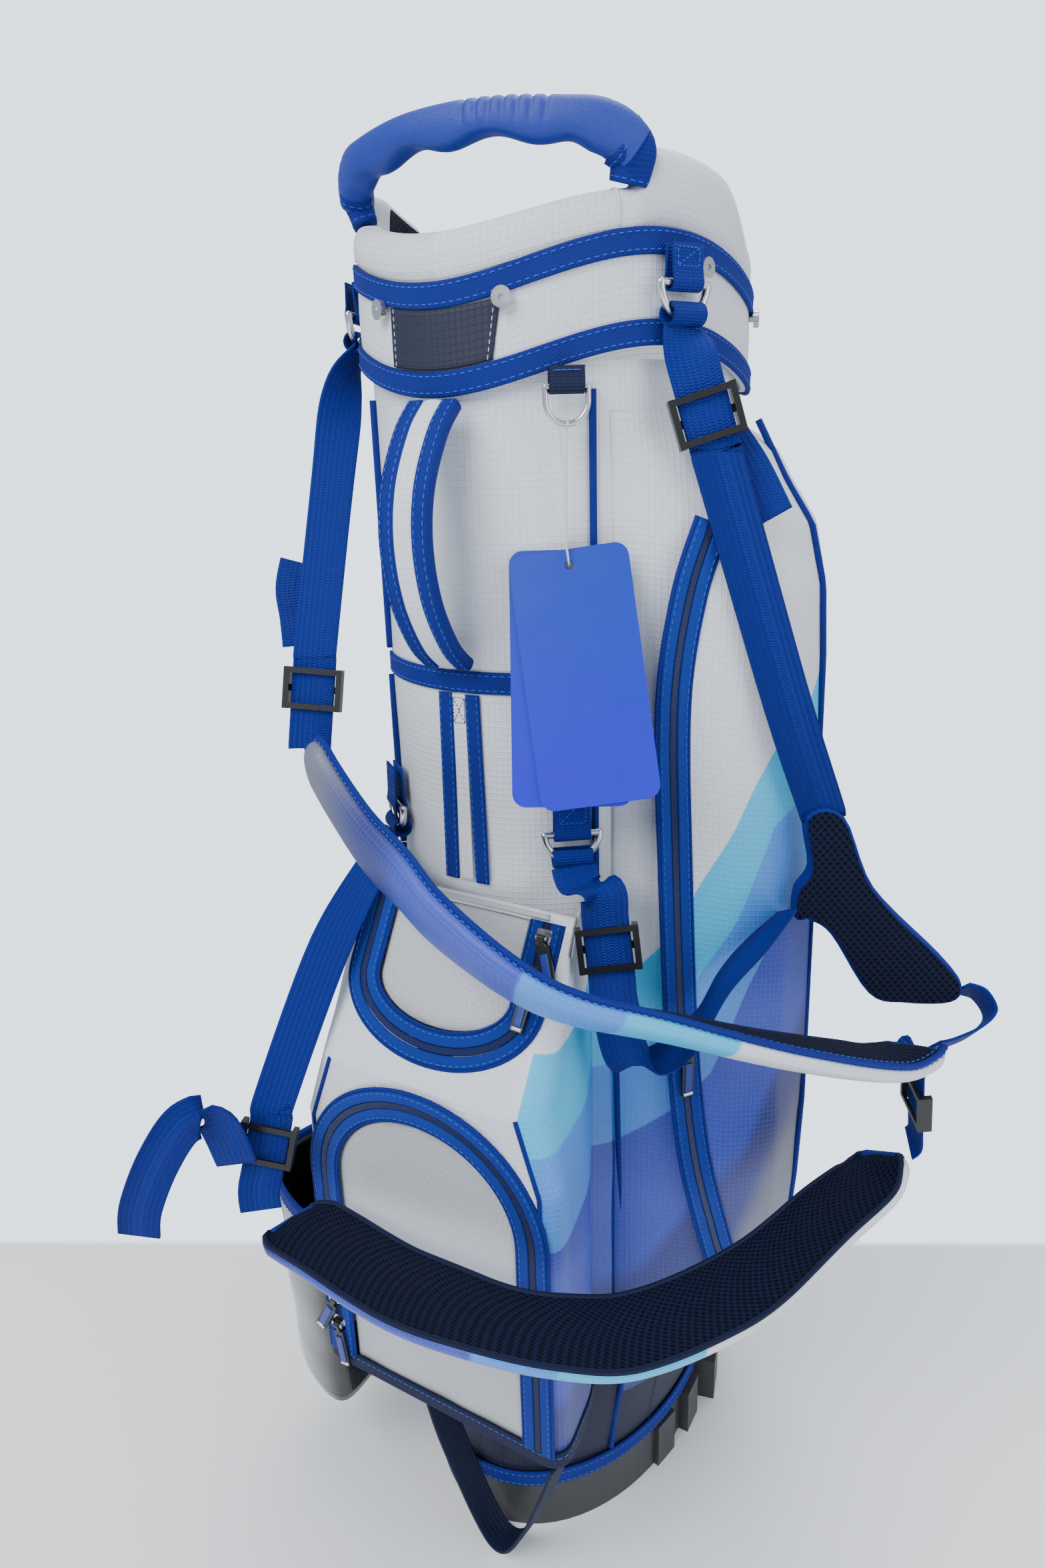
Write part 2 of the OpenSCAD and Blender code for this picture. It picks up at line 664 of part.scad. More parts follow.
module upper_webbing_left() {
    ring_loop(-tab_heading, 12, upper_bar_z);
    route = concat([[-99.8, -57.2, 758.4], [-102, -70, 738], [-98, -88, 698]], through(LOCK_A[0], LOCK_A[1]),
                   [[-95, -133, 544]]);
    sweep(route, concat([-along(-tab_heading), [0.3, 0.95, 0]], [for (i = [2:7]) lateral]), web_w, web_t);
    sweep([[-117, -110, 598], [-120, -107, 614], [-122, -106, 630], [-119, -103, 646]], lateral, 20, web_t);
}

module webbing_upper() {
    color([0.1, 0.22, 0.75]) {
        upper_webbing_right();
        upper_webbing_left();
    }
}

module lower_webbing_left() {
    ring_loop(-low_tab_heading, low_off, lower_bar_z);
    route = concat([[-61.8, -104.7, 489.2], [-66, -114, 476], [-71, -158, 434]], through(LOCK_B[0], LOCK_B[1]),
                   [[-90, -217, 284]]);
    sweep(route, concat([along(-low_tab_heading), [0.98, -0.1, 0]], [for (i = [2:7]) lateral]), web_w, web_t);
    sweep([[-98, -223, 318], [-101, -232, 352], [-114, -242, 352], [-126, -254, 330], [-136, -263, 301],
           [-139, -265, 282]], lateral, web_w, web_t);
}

module lower_webbing_right() {
    ring_loop(low_tab_heading, low_off, lower_bar_z);
    route = concat([[61.8, -104.7, 489.2], [71, -114, 484]], through(GLIDE_LOW[0], GLIDE_LOW[1]),
                   [[104, -122, 391], [118, -104, 388], [129, -86, 402], [137, -68, 422], [147, -50, 437],
                    [158, -29, 452]]);
    sweep(route, concat([for (i = [0:6]) lateral], [0.5 * lateral + 0.8 * toward],
                        [for (i = [0:2]) toward], [0.9 * toward + 0.3 * up]), web_w, web_t);
}

module webbing_lower() {
    color([0.1, 0.22, 0.75]) {
        lower_webbing_left();
        lower_webbing_right();
    }
}

module webbing_links() {
    color([0.1, 0.22, 0.75]) {
        sweep([[246, 31, 396], [256, 35, 392], [263, 32, 382], [257, 20, 376], [246, 4, 374], [238, -5, 374]],
              0.7 * toward + 0.7 * up, 22, web_t);
        sweep(concat([[230, -3, 366]], through(BUCKLE[0], BUCKLE[1]), [[230, 6.3, 298]]), toward, web_w, web_t);
    }
}

// A plastic webbing lock: two rails, two bars in front of the webbing and one behind it.
module glide(w) {
    for (s = [-1, 1]) {
        translate([s * (w / 2 + 2.6) - 1.6, -12, -4]) cube([3.2, 24, 8]);
        translate([-w / 2 - 2, s * 10.2 - 1.6, 2]) cube([w + 4, 3.2, 2]);
    }
    translate([-w / 2 - 2, -2, -4]) cube([w + 4, 4, 1.8]);
}

module glide_at(seat, across) {
    color([0.1, 0.1, 0.11]) place(seat[0], square_to(across, seat[1]), seat[1]) glide(web_w);
}

module lock_upper_left() { glide_at(LOCK_A, lateral); }
module lock_lower_left() { glide_at(LOCK_B, lateral); }
module glide_upper_right() { glide_at(GLIDE_UP, lateral); }
module glide_lower_right() { glide_at(GLIDE_LOW, lateral); }
module pad_buckles() { glide_at(BUCKLE, toward); }

base_boot();
base_binding();
skirt();
tube_shell();
stay_rods();
divider_frame();
divider_panels();
collar();
collar_lower_binding();
collar_upper_binding();
rim_pad();
collar_patch();
collar_screws();
handle_grip();
handle_sleeves();
handle_webbing();
carry_handle();
front_stripe();
mid_band();
side_piping();
upper_d_tabs();
lower_d_tabs();
towel_loop();
ball_pocket();
upper_flap();
upper_zip();
lower_door();
lower_zip();
garment_pocket();
garment_zip();
side_pocket();
drag_loop();
upper_ring_left();
upper_ring_right();
lower_ring_left();
lower_ring_right();
towel_ring();
hang_tag();
tag_cord();
upper_slider_a();
upper_slider_b();
lower_slider_a();
lower_slider_b();
garment_slider();
upper_pull_a();
upper_pull_b();
lower_pull_a();
lower_pull_b();
garment_pull();
strap_a();
strap_b();
back_pad();
webbing_upper();
webbing_lower();
webbing_links();
lock_upper_left();
lock_lower_left();
glide_upper_right();
glide_lower_right();
pad_buckles();
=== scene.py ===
import math

import bmesh
import bpy
import numpy as np
from mathutils import Matrix, Vector


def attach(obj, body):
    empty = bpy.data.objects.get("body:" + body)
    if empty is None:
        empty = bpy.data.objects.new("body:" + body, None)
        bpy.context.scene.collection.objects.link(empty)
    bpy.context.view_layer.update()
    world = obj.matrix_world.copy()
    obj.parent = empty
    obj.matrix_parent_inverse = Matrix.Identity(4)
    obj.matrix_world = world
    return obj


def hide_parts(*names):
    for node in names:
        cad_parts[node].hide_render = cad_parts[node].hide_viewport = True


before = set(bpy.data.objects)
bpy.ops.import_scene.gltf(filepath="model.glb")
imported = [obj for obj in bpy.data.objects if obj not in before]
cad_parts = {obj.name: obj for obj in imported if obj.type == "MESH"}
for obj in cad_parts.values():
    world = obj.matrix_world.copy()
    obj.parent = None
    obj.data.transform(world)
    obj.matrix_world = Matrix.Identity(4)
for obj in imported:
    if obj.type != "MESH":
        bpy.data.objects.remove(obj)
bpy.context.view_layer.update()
MM = 0.001
BAG = "bag"

# ---------------------------------------------------------------- camera, cord and light

AZ, SHIFT_YAW, PITCH, ROLL, DIST, HEIGHT = 28.8, 2.5, 18.46, -1.74, 0.645, 0.712


def camera():
    a, y = math.radians(AZ), math.radians(AZ + SHIFT_YAW)
    p, r = math.radians(PITCH), math.radians(ROLL)
    ahead = Vector((-math.sin(y) * math.cos(p), math.cos(y) * math.cos(p), -math.sin(p)))
    right = ahead.cross(Vector((0, 0, 1))).normalized()
    up = right.cross(ahead)
    right, up = right * math.cos(r) + up * math.sin(r), up * math.cos(r) - right * math.sin(r)
    data = bpy.data.cameras.new("camera")
    data.sensor_fit, data.sensor_height, data.sensor_width = "VERTICAL", 36, 24
    data.lens = 24.0
    data.clip_start, data.clip_end = 0.02, 50
    cam = bpy.data.objects.new("camera", data)
    bpy.context.scene.collection.objects.link(cam)
    m = Matrix((right, up, -ahead)).transposed().to_4x4()
    m.translation = Vector((math.sin(a) * DIST, -math.cos(a) * DIST, HEIGHT))
    cam.matrix_world = m
    bpy.context.scene.camera = cam


camera()

# ---------------------------------------------------------------- shapes shared with the CAD

AX, AY = 99.0, 116.0
BASE_AX, BASE_AY = 91.0, 132.0
LOW_Z, HIGH_Z, WAVE, TAPE = 746.5, 792.0, 10.5, 12.0
TUBE_FOOT, TUBE_TOP = 119, 745
SKIRT_AX, SKIRT_AY, SKIRT_FOOT, SKIRT_RISE = 90, 131, 44.6, 73.6
BAND_Z, STRIPE_FOOT, STRIPE_TOP = 589, 474, 582
# the bar that each pair of rings turns on: heading, distance from the tube, height
UPPER_BAR, LOWER_BAR, TOWEL_BAR = (60.0, 12, 778), (30.0, 6.5, 507), (30.0, 12, 733)
TOWEL_B = TOWEL_BAR[0]
SIDES = ((-1, "left"), (1, "right"))
UP, EAST, FRONT = np.array([0.0, 0, 1]), np.array([1.0, 0, 0]), np.array([0.0, -1, 0])
TOWARD = np.array([0.482, -0.876, 0.0])
LATERAL = np.array([0.876, 0.482, 0.0])


def unit(v):
    v = np.asarray(v, float)
    return v / np.maximum(np.linalg.norm(v, axis=-1, keepdims=True), 1e-9)


def seq(a, b, n):
    return np.linspace(a, b, n)


def param(b):
    b = np.radians(b)
    return np.degrees(np.arctan2(AY * np.sin(b), AX * np.cos(b)))


def on_oval(t, ax, ay, z):
    t = np.radians(t)
    return np.stack(np.broadcast_arrays(ax * np.sin(t), -ay * np.cos(t), z), -1)


def on_tube(b, off, z):
    return on_oval(param(b), AX + off, AY + off, z)


def out_of(b):
    t = np.radians(param(b))
    return unit(np.stack(np.broadcast_arrays(np.sin(t) / AX, -np.cos(t) / AY, 0.0), -1))


def along(b):
    return np.cross(UP, out_of(b))


def low_edge(t):
    return LOW_Z - WAVE * np.cos(np.radians(3 * t))


def high_edge(t):
    return HIGH_Z - WAVE * np.cos(np.radians(3 * t))


def smooth(u):
    u = np.clip(u, 0, 1)
    return u * u * (3 - 2 * u)


def hump(t):
    a = np.abs(np.where(np.asarray(t, float) > 180, np.asarray(t, float) - 360, t))
    return smooth((a - 52) / 8) * smooth((104 - a) / 20)


def rim_edge(t):
    return 811 - 8 * np.cos(np.radians(3 * t)) + 17 * hump(t)


def spline(p, n):
    p = np.asarray(p, float)
    q = np.concatenate([p[:1], p, p[-1:]])
    out = []
    for i in range(len(p) - 1):
        a, b, c, d = q[i], q[i + 1], q[i + 2], q[i + 3]
        for s in range(n):
            u = s / n
            out.append(0.5 * (2 * b + (c - a) * u + (2 * a - 5 * b + 4 * c - d) * u * u
                              + (3 * b - a - 3 * c + d) * u ** 3))
    out.append(p[-1])
    return np.array(out)


def headings(p):
    h = np.empty_like(p)
    h[1:-1] = p[2:] - p[:-2]
    h[0], h[-1] = p[1] - p[0], p[-1] - p[-2]
    return unit(h)


def square_to(v, t):
    v = np.broadcast_to(v, t.shape)
    return unit(v - (v * t).sum(-1, keepdims=True) * t)


# ---------------------------------------------------------------- materials


class Shader:
    """A Principled material with short calls for the nodes that feed it."""

    def __init__(self, name, color=(0.8, 0.8, 0.8), rough=0.6, metal=0.0, **inputs):
        self.mat = bpy.data.materials.new(name)
        self.mat.use_nodes = True
        self.tree = self.mat.node_tree
        self.tree.nodes.clear()
        self.out = self.tree.nodes.new("ShaderNodeOutputMaterial")
        self.bsdf = self.tree.nodes.new("ShaderNodeBsdfPrincipled")
        self.tree.links.new(self.bsdf.outputs[0], self.out.inputs[0])
        self.set("Base Color", (*color, 1))
        self.set("Roughness", rough)
        self.set("Metallic", metal)
        for key, value in inputs.items():
            self.set(key.replace("_", " "), value)
        self.mat.diffuse_color = (*color, 1)

    def set(self, key, value):
        self.feed(self.bsdf.inputs[key], value)

    def feed(self, socket, value):
        if isinstance(value, bpy.types.NodeSocket):
            self.tree.links.new(value, socket)
        else:
            socket.default_value = value

    def node(self, kind, *values, out=0, **props):
        n = self.tree.nodes.new(kind)
        for key, value in props.items():
            setattr(n, key, value)
        for socket, value in zip(n.inputs, values):
            if value is not None:
                self.feed(socket, value)
        return n.outputs[out]

    def math(self, op, *values):
        return self.node("ShaderNodeMath", *values, operation=op)

    def mix(self, factor, a, b):
        n = self.tree.nodes.new("ShaderNodeMix")
        n.data_type = "RGBA"
        self.feed(n.inputs[0], factor)
        for socket, value in ((n.inputs[6], a), (n.inputs[7], b)):
            self.feed(socket, value if isinstance(value, bpy.types.NodeSocket) else (*value, 1))
        return n.outputs[2]

    def band(self, value, low, high):
        return self.node("ShaderNodeMapRange", value, low, high, 0.0, 1.0, interpolation_type="SMOOTHSTEP")

    def uv(self):
        split = self.tree.nodes.new("ShaderNodeSeparateXYZ")
        self.tree.links.new(self.node("ShaderNodeUVMap", uv_map="uv"), split.inputs[0])
        return split.outputs[0], split.outputs[1]

    def place(self):
        return self.node("ShaderNodeTexCoord", out=3)

    def noise(self, scale, detail=2.0, vector=None):
        n = self.tree.nodes.new("ShaderNodeTexNoise")
        self.feed(n.inputs["Vector"], vector or self.place())
        n.inputs["Scale"].default_value = scale
        n.inputs["Detail"].default_value = detail
        return n.outputs[0]

    def bump(self, height, depth, strength=1.0):
        n = self.tree.nodes.new("ShaderNodeBump")
        n.inputs["Strength"].default_value = strength
        n.inputs["Distance"].default_value = depth
        self.feed(n.inputs["Height"], height)
        self.tree.links.new(n.outputs[0], self.bsdf.inputs["Normal"])

    def ripple(self, value, period, phase=0.0):
        """A wave from 0 to 1 along value, of that period."""
        turn = self.math("MULTIPLY_ADD", value, 2 * math.pi / period, phase)
        return self.math("MULTIPLY_ADD", self.math("SINE", turn), 0.5, 0.5)

    def shade(self, color, by, amount):
        """color, darkened by up to amount where by is 0."""
        dark = tuple(c * (1 - amount) for c in color)
        return self.mix(by, dark, color)


def ripstop(s):
    """Height of a ripstop weave: fine threads with a raised square grid."""
    u, v = s.uv()
    grid = s.math("MAXIMUM", s.band(s.ripple(u, 0.0034), 0.86, 1.0), s.band(s.ripple(v, 0.0034), 0.86, 1.0))
    fine = s.math("MULTIPLY", s.ripple(u, 0.00085), s.ripple(v, 0.00085))
    return grid, s.math("MULTIPLY_ADD", fine, 0.35, grid)


def ripstop_cloth(name, color, rough=0.55, depth=0.00022, **inputs):
    s = Shader(name, color, rough, **inputs)
    grid, height = ripstop(s)
    mottle = s.noise(22, 3)
    s.set("Base Color", s.mix(s.math("MULTIPLY", grid, 0.35), s.shade(color, mottle, 0.05),
                              tuple(min(1, c * 1.08) for c in color)))
    s.set("Roughness", s.math("MULTIPLY_ADD", mottle, 0.12, rough - 0.06))
    s.bump(height, depth)
    return s.mat


def printed_cloth(name, first, bands, rough=0.4):
    """Ripstop whose colour changes where each named attribute passes zero."""
    s = Shader(name, first, rough)
    grid, height = ripstop(s)
    color = first
    for attribute, shade, soft in bands:
        edge = s.node("ShaderNodeAttribute", out=2, attribute_name=attribute)
        color = s.mix(s.band(edge, -soft, soft), color, shade)
    color = s.mix(s.math("MULTIPLY", grid, 0.04), color, (1.0, 1.0, 1.0))
    s.set("Base Color", color)
    s.set("Roughness", s.math("MULTIPLY_ADD", s.noise(30, 2), 0.12, rough - 0.06))
    s.bump(height, 0.00018)
    return s.mat


def twill(name, color, rough=0.7, pitch=0.0019, lean=1.0, depth=0.0003):
    s = Shader(name, color, rough, Specular_IOR_Level=0.25)
    u, v = s.uv()
    slope = s.math("MULTIPLY_ADD", u, lean, v)
    ribs = s.ripple(slope, pitch)
    thread = s.ripple(s.math("SUBTRACT", u, v), pitch * 0.5)
    height = s.math("MULTIPLY_ADD", thread, 0.3, ribs)
    # painted shade: the colour darkens by up to 40% in the grooves between the twill's ribs, with a little
    # random tone from the noise
    wear_and_shade = s.math("MULTIPLY_ADD", ribs, 0.7, s.math("MULTIPLY", s.noise(60), 0.3))
    s.set("Base Color", s.shade(color, wear_and_shade, 0.4))
    s.bump(height, depth)
    return s.mat


def webbing_cloth(name, color, rough=0.62):
    s = Shader(name, color, rough, Specular_IOR_Level=0.2)
    u, v = s.uv()
    column = s.ripple(u, 0.0030)
    rows = s.ripple(s.math("MULTIPLY_ADD", column, 0.0006, v), 0.00155)
    height = s.math("MULTIPLY_ADD", column, 0.35, rows)
    # painted shade: the colour darkens by up to 45% in the low parts of the weave, between its rows and columns
    weave_shade = s.math("MULTIPLY_ADD", rows, 0.75, s.math("MULTIPLY", column, 0.25))
    s.set("Base Color", s.shade(color, weave_shade, 0.45))
    s.bump(height, 0.0004)
    return s.mat


def air_mesh(name, color):
    s = Shader(name, color, 0.8, Specular_IOR_Level=0.15)
    u, v = s.uv()

    def lattice(shift):
        a = s.math("SUBTRACT", s.math("FRACT", s.math("MULTIPLY_ADD", u, 1 / 0.0042, shift)), 0.5)
        b = s.math("SUBTRACT", s.math("FRACT", s.math("MULTIPLY_ADD", v, 1 / 0.0050, shift)), 0.5)
        return s.math("SQRT", s.math("MULTIPLY_ADD", a, a, s.math("MULTIPLY", b, b)))

    wall = s.band(s.math("MINIMUM", lattice(0.0), lattice(0.5)), 0.13, 0.3)
    thread = s.math("MULTIPLY_ADD", s.ripple(s.math("ADD", u, v), 0.0011), 0.25, wall)
    # painted shade: the mesh's holes are painted at 12% of the colour, a shadow inside each cell
    s.set("Base Color", s.mix(wall, tuple(c * 0.12 for c in color), color))
    s.bump(thread, 0.0011)
    return s.mat


def plastic(name, color, rough=0.4, grain=900, depth=0.0001, **inputs):
    s = Shader(name, color, rough, **inputs)
    fine = s.noise(grain, 2)
    wear_and_shade = s.noise(35, 3)
    s.set("Base Color", s.shade(color, wear_and_shade, 0.12))
    s.set("Roughness", s.math("MULTIPLY_ADD", wear_and_shade, 0.2, rough - 0.1))
    s.bump(fine, depth)
    return s.mat


def metal(name, color=(0.75, 0.75, 0.77), rough=0.24):
    s = Shader(name, color, rough, 1.0)
    wear_and_shade = s.noise(140, 4)
    s.set("Base Color", s.shade(color, wear_and_shade, 0.15))
    s.set("Roughness", s.math("MULTIPLY_ADD", wear_and_shade, 0.2, rough - 0.08))
    s.bump(s.noise(700, 2), 0.00004)
    return s.mat


def coil(name, color):
    s = Shader(name, color, 0.5)
    u, v = s.uv()
    lean = s.math("MULTIPLY_ADD", s.math("ABSOLUTE", u), 0.55, v)
    teeth = s.ripple(lean, 0.00135)
    # painted shade: the gaps between the coil's teeth are darkened by up to 70%
    s.set("Base Color", s.shade(color, teeth, 0.7))
    s.bump(teeth, 0.0006)
    return s.mat


WHITE, ROYAL, NAVY = (0.74, 0.77, 0.83), (0.003, 0.018, 0.26), (0.008, 0.011, 0.036)
CYAN, SKY, PERI = (0.03, 0.50, 0.84), (0.06, 0.26, 0.76), (0.030, 0.060, 0.46)
INDIGO, GREY = (0.022, 0.030, 0.21), (0.15, 0.16, 0.23)
M = {
    "white": ripstop_cloth("white_ripstop", WHITE),
    "silver": ripstop_cloth("silver_ripstop", (0.50, 0.52, 0.55), 0.42),
    "navy": ripstop_cloth("navy_cloth", NAVY, 0.6),
    "black": ripstop_cloth("black_coated", (0.008, 0.008, 0.010), 0.18, 0.00008, Coat_Weight=0.6),
    "liner": ripstop_cloth("grey_liner", (0.22, 0.23, 0.26), 0.8),
    "royal": twill("royal_twill", ROYAL),
    "lip": twill("zip_lip", (0.006, 0.040, 0.36), pitch=0.0013, depth=0.0002),
    "thread": plastic("stitch_thread", (0.02, 0.09, 0.62), 0.6, 3000),
    "pale_thread": plastic("pale_thread", (0.75, 0.77, 0.8), 0.6, 3000),
    "dark_thread": plastic("dark_thread", (0.02, 0.03, 0.08), 0.6, 3000),
    "webbing": webbing_cloth("royal_webbing", (0.003, 0.020, 0.28)),
    "navy_webbing": webbing_cloth("navy_webbing", (0.012, 0.018, 0.06)),
    "mesh": air_mesh("air_mesh", (0.007, 0.011, 0.042)),
    "coil": coil("zip_coil", (0.006, 0.020, 0.16)),
    "grip": plastic("grip_plastic", (0.004, 0.030, 0.32), 0.42, 2400, 0.00025),
    "base": plastic("base_plastic", (0.035, 0.035, 0.037), 0.5, 1500, 0.0001),
    "lock": plastic("lock_plastic", (0.012, 0.012, 0.013), 0.32, 1500, 0.00005),
    "divider": plastic("divider_plastic", (0.02, 0.025, 0.07), 0.5),
    "metal": metal("ring_metal"),
    "chrome": metal("slider_metal", (0.8, 0.8, 0.82), 0.14),
    "rod": metal("rod_metal", (0.6, 0.6, 0.6), 0.35),
    "inlay": plastic("pull_inlay", (0.008, 0.035, 0.30), 0.35, 2000),
}


def tag_card():
    s = Shader("tag_card", (0.02, 0.06, 0.75), 0.3, Coat_Weight=0.35, Coat_Roughness=0.15)
    height = s.node("ShaderNodeSeparateXYZ", s.place(), out=2)
    s.set("Base Color", s.mix(s.band(height, 0.53, 0.66), (0.008, 0.006, 0.60), (0.006, 0.035, 0.42)))
    s.set("Roughness", s.math("MULTIPLY_ADD", s.noise(60), 0.1, 0.25))
    s.bump(s.noise(1800, 1), 0.00003)
    return s.mat


def clear_nylon():
    s = Shader("clear_nylon", (0.9, 0.93, 0.95), 0.15, Transmission_Weight=0.6)
    s.set("Roughness", s.math("MULTIPLY_ADD", s.noise(300), 0.1, 0.12))
    s.bump(s.noise(900), 0.00004)
    return s.mat


M["tag"], M["nylon"] = tag_card(), clear_nylon()

# ---------------------------------------------------------------- mesh building


def new_object(name, mesh, body=BAG):
    obj = bpy.data.objects.new(name, mesh)
    bpy.context.scene.collection.objects.link(obj)
    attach(obj, body)
    return obj


def steps(a, axis):
    """Running length along an axis of a grid of points, in metres."""
    d = np.linalg.norm(np.diff(a, axis=axis), axis=-1)
    pad = [(0, 0), (0, 0)]
    pad[axis] = (1, 0)
    return np.cumsum(np.pad(d, pad), axis=axis) * MM


def grid(name, points, mats, slot=None, wrap=False, loop=False, caps=False, keep=None, pick=None,
         fields=None, node=None, body=BAG):
    """A mesh from rows of points. wrap joins each row to itself, loop joins the last row to the first."""
    p = np.asarray(points, float)
    rows, cols = p.shape[:2]
    wide = np.concatenate([p, p[:, :1]], 1) if wrap else p
    tall = np.concatenate([wide, wide[:1]], 0) if loop else wide
    uv = np.stack([steps(tall, 1), steps(tall, 0)], -1)
    uv[..., 0] -= uv[..., 0].mean()
    faces, corners, index = [], [], []
    for i in range(rows if loop else rows - 1):
        for j in range(cols if wrap else cols - 1):
            if keep is not None and not keep[i][j]:
                continue
            i2, j2 = (i + 1) % rows, (j + 1) % cols
            faces.append((i * cols + j, i * cols + j2, i2 * cols + j2, i2 * cols + j))
            corners += [uv[i, j], uv[i, j + 1], uv[i + 1, j + 1], uv[i + 1, j]]
            index.append(pick[j] if pick is not None else 0)
    if caps:
        for row, order in ((0, -1), (rows - 1, 1)):
            faces.append(tuple(row * cols + j for j in range(cols)[::order]))
            corners += [uv[row, j] for j in range(cols)[::order]]
            index.append(0)
    mesh = bpy.data.meshes.new(name)
    mesh.from_pydata([tuple(v) for v in p.reshape(-1, 3) * MM], [], faces)
    layer = mesh.uv_layers.new(name="uv")
    layer.data.foreach_set("uv", np.array(corners).reshape(-1))
    for key, values in (fields or {}).items():
        field = mesh.attributes.new(key, "FLOAT", "POINT")
        field.data.foreach_set("value", np.asarray(values, float).reshape(-1))
    for m in mats:
        mesh.materials.append(M[m])
    mesh.polygons.foreach_set("material_index", index)
    mesh.polygons.foreach_set("use_smooth", [True] * len(faces))
    bm = bmesh.new()
    bm.from_mesh(mesh)
    bmesh.ops.recalc_face_normals(bm, faces=bm.faces)
    bm.to_mesh(mesh)
    bm.free()
    mesh.update()
    obj = new_object(name, mesh, body)
    if node:
        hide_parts(node)
    return obj


def thicken(obj, thickness, offset=-1):
    m = obj.modifiers.new("thickness", "SOLIDIFY")
    m.thickness, m.offset = thickness * MM, offset
    return obj


def ring_profile(half_w, half_t, n=5):
    """A flat ribbon's outline with rounded edges."""
    r = half_t
    xs = seq(-(half_w - r), half_w - r, 9)
    right = [(half_w - r + r * math.cos(a), r * math.sin(a)) for a in seq(-1.2, 1.2, n)]
    left = [(-half_w + r - r * math.cos(a), r * math.sin(a)) for a in seq(1.2, -1.2, n)]
    return [(x, -r) for x in xs] + right + [(x, r) for x in xs[::-1]] + left


def sweep_points(p, across, outline):
    """Rows of points: outline (x along across, y along the normal) carried along p."""
    t = headings(p)
    s = square_to(across, t)
    n = np.cross(t, s)
    o = np.asarray(outline, float)
    if o.ndim == 2:
        o = np.broadcast_to(o, (len(p),) + o.shape)
    return p[:, None] + s[:, None] * o[..., :1] + n[:, None] * o[..., 1:2], s, n


def ribbon(name, route, across, w, t, mat, slot, n=6, body=BAG, node=None):
    p = spline(route, n) if n > 1 else np.asarray(route, float)
    a = np.asarray(across, float)
    if a.ndim == 2:
        a = spline(a, n) if n > 1 else a
    rows, _, _ = sweep_points(p, a, ring_profile(w / 2, t / 2))
    return grid(name, rows, [mat], slot, wrap=True, caps=True, node=node, body=body)


def circle(r, n=10):
    return [(r * math.cos(a), r * math.sin(a)) for a in np.linspace(0, 2 * math.pi, n, endpoint=False)]


def tube(name, route, r, mat, slot=None, n=6, across=(0.31, 0.22, 0.93), loop=False, body=BAG):
    p = spline(route, n) if n > 1 else np.asarray(route, float)
    rows, _, _ = sweep_points(p, np.asarray(across, float), circle(r))
    return grid(name, rows, [mat], slot, wrap=True, caps=not loop, loop=loop, body=body)


def stitches(name, p, normal, mat="thread", pitch=4.2, length=2.8, r=0.28):
    """A row of short raised threads along a line of points."""
    p = np.asarray(p, float)
    s = np.concatenate([[0], np.cumsum(np.linalg.norm(np.diff(p, axis=0), axis=1))])
    normal = np.broadcast_to(np.asarray(normal, float), p.shape)
    mids = np.arange(pitch / 2, s[-1], pitch)
    at = lambda x, a: np.stack([np.interp(x, s, a[:, k]) for k in range(3)], -1)
    verts, faces = [], []
    ring = circle(1, 6)
    for m in mids:
        a, b, n = at(m - length / 2, p), at(m + length / 2, p), at(m, normal)
        t = unit(b - a)
        n = unit(n - (n @ t) * t)
        w = np.cross(t, n)
        base = len(verts)
        for f, k in ((0.0, 0.35), (0.25, 1.0), (0.75, 1.0), (1.0, 0.35)):
            c = a + (b - a) * f + n * r * (0.4 * k)
            verts += [c + (w * x + n * y) * r * k for x, y in ring]
        for i in range(3):
            for j in range(6):
                q = base + i * 6
                faces.append((q + j, q + (j + 1) % 6, q + 6 + (j + 1) % 6, q + 6 + j))
        faces.append(tuple(base + j for j in range(6))[::-1])
        faces.append(tuple(base + 18 + j for j in range(6)))
    mesh = bpy.data.meshes.new(name)
    mesh.from_pydata([tuple(v * MM) for v in verts], [], faces)
    mesh.materials.append(M[mat])
    mesh.polygons.foreach_set("use_smooth", [True] * len(faces))
    mesh.update()
    return new_object(name, mesh)


def along_corners(corners, n):
    """n - 1 points on each straight stretch between corners, and the last corner."""
    corners = np.array(corners, float)
    return np.concatenate([seq(a, b, n)[:-1] for a, b in zip(corners[:-1], corners[1:])] + [corners[-1:]])


def round_the_bag(rows):
    """Every second degree of the oval, against each row."""
    return np.meshgrid(seq(0, 360, 181)[:-1], rows)


def wrinkle(a, b, size):
    """Small soft unevenness over two running coordinates."""
    broad = np.sin(a * 0.061 + 1.3 * np.sin(b * 0.023)) * 0.5
    middle = np.sin(b * 0.047 + 2 * np.sin(a * 0.031)) * 0.35
    return size * (broad + middle + np.sin(a * 0.11 + b * 0.083) * 0.15)


# ---------------------------------------------------------------- tube, skirt, base and collar


def print_fields(b, z):
    """Distance, in millimetres, past each colour's edge on the right of the bag, positive below the edge."""
    b, z = np.broadcast_arrays(b, z)
    edges = {
        "cyan": ([40, 50, 58, 62, 68, 74, 80, 88, 98, 150],
                 [402, 424, 444, 470, 494, 525, 548, 560, 590, 640]),
        "sky": ([40, 50, 58, 64, 72, 80, 88, 98, 150], [352, 366, 392, 420, 452, 500, 512, 526, 560]),
        "peri": ([40, 50, 58, 66, 74, 82, 90, 100, 150], [296, 312, 326, 350, 402, 440, 462, 480, 500]),
        "indigo": ([40, 50, 58, 66, 74, 82, 90, 100, 150], [190, 204, 236, 270, 286, 330, 360, 380, 400]),
        "grey": ([40, 50, 58, 66, 74, 82, 90, 100, 150], [60, 70, 90, 150, 220, 268, 300, 318, 330]),
    }
    return {k: np.interp(b, x, y) - z for k, (x, y) in edges.items()}


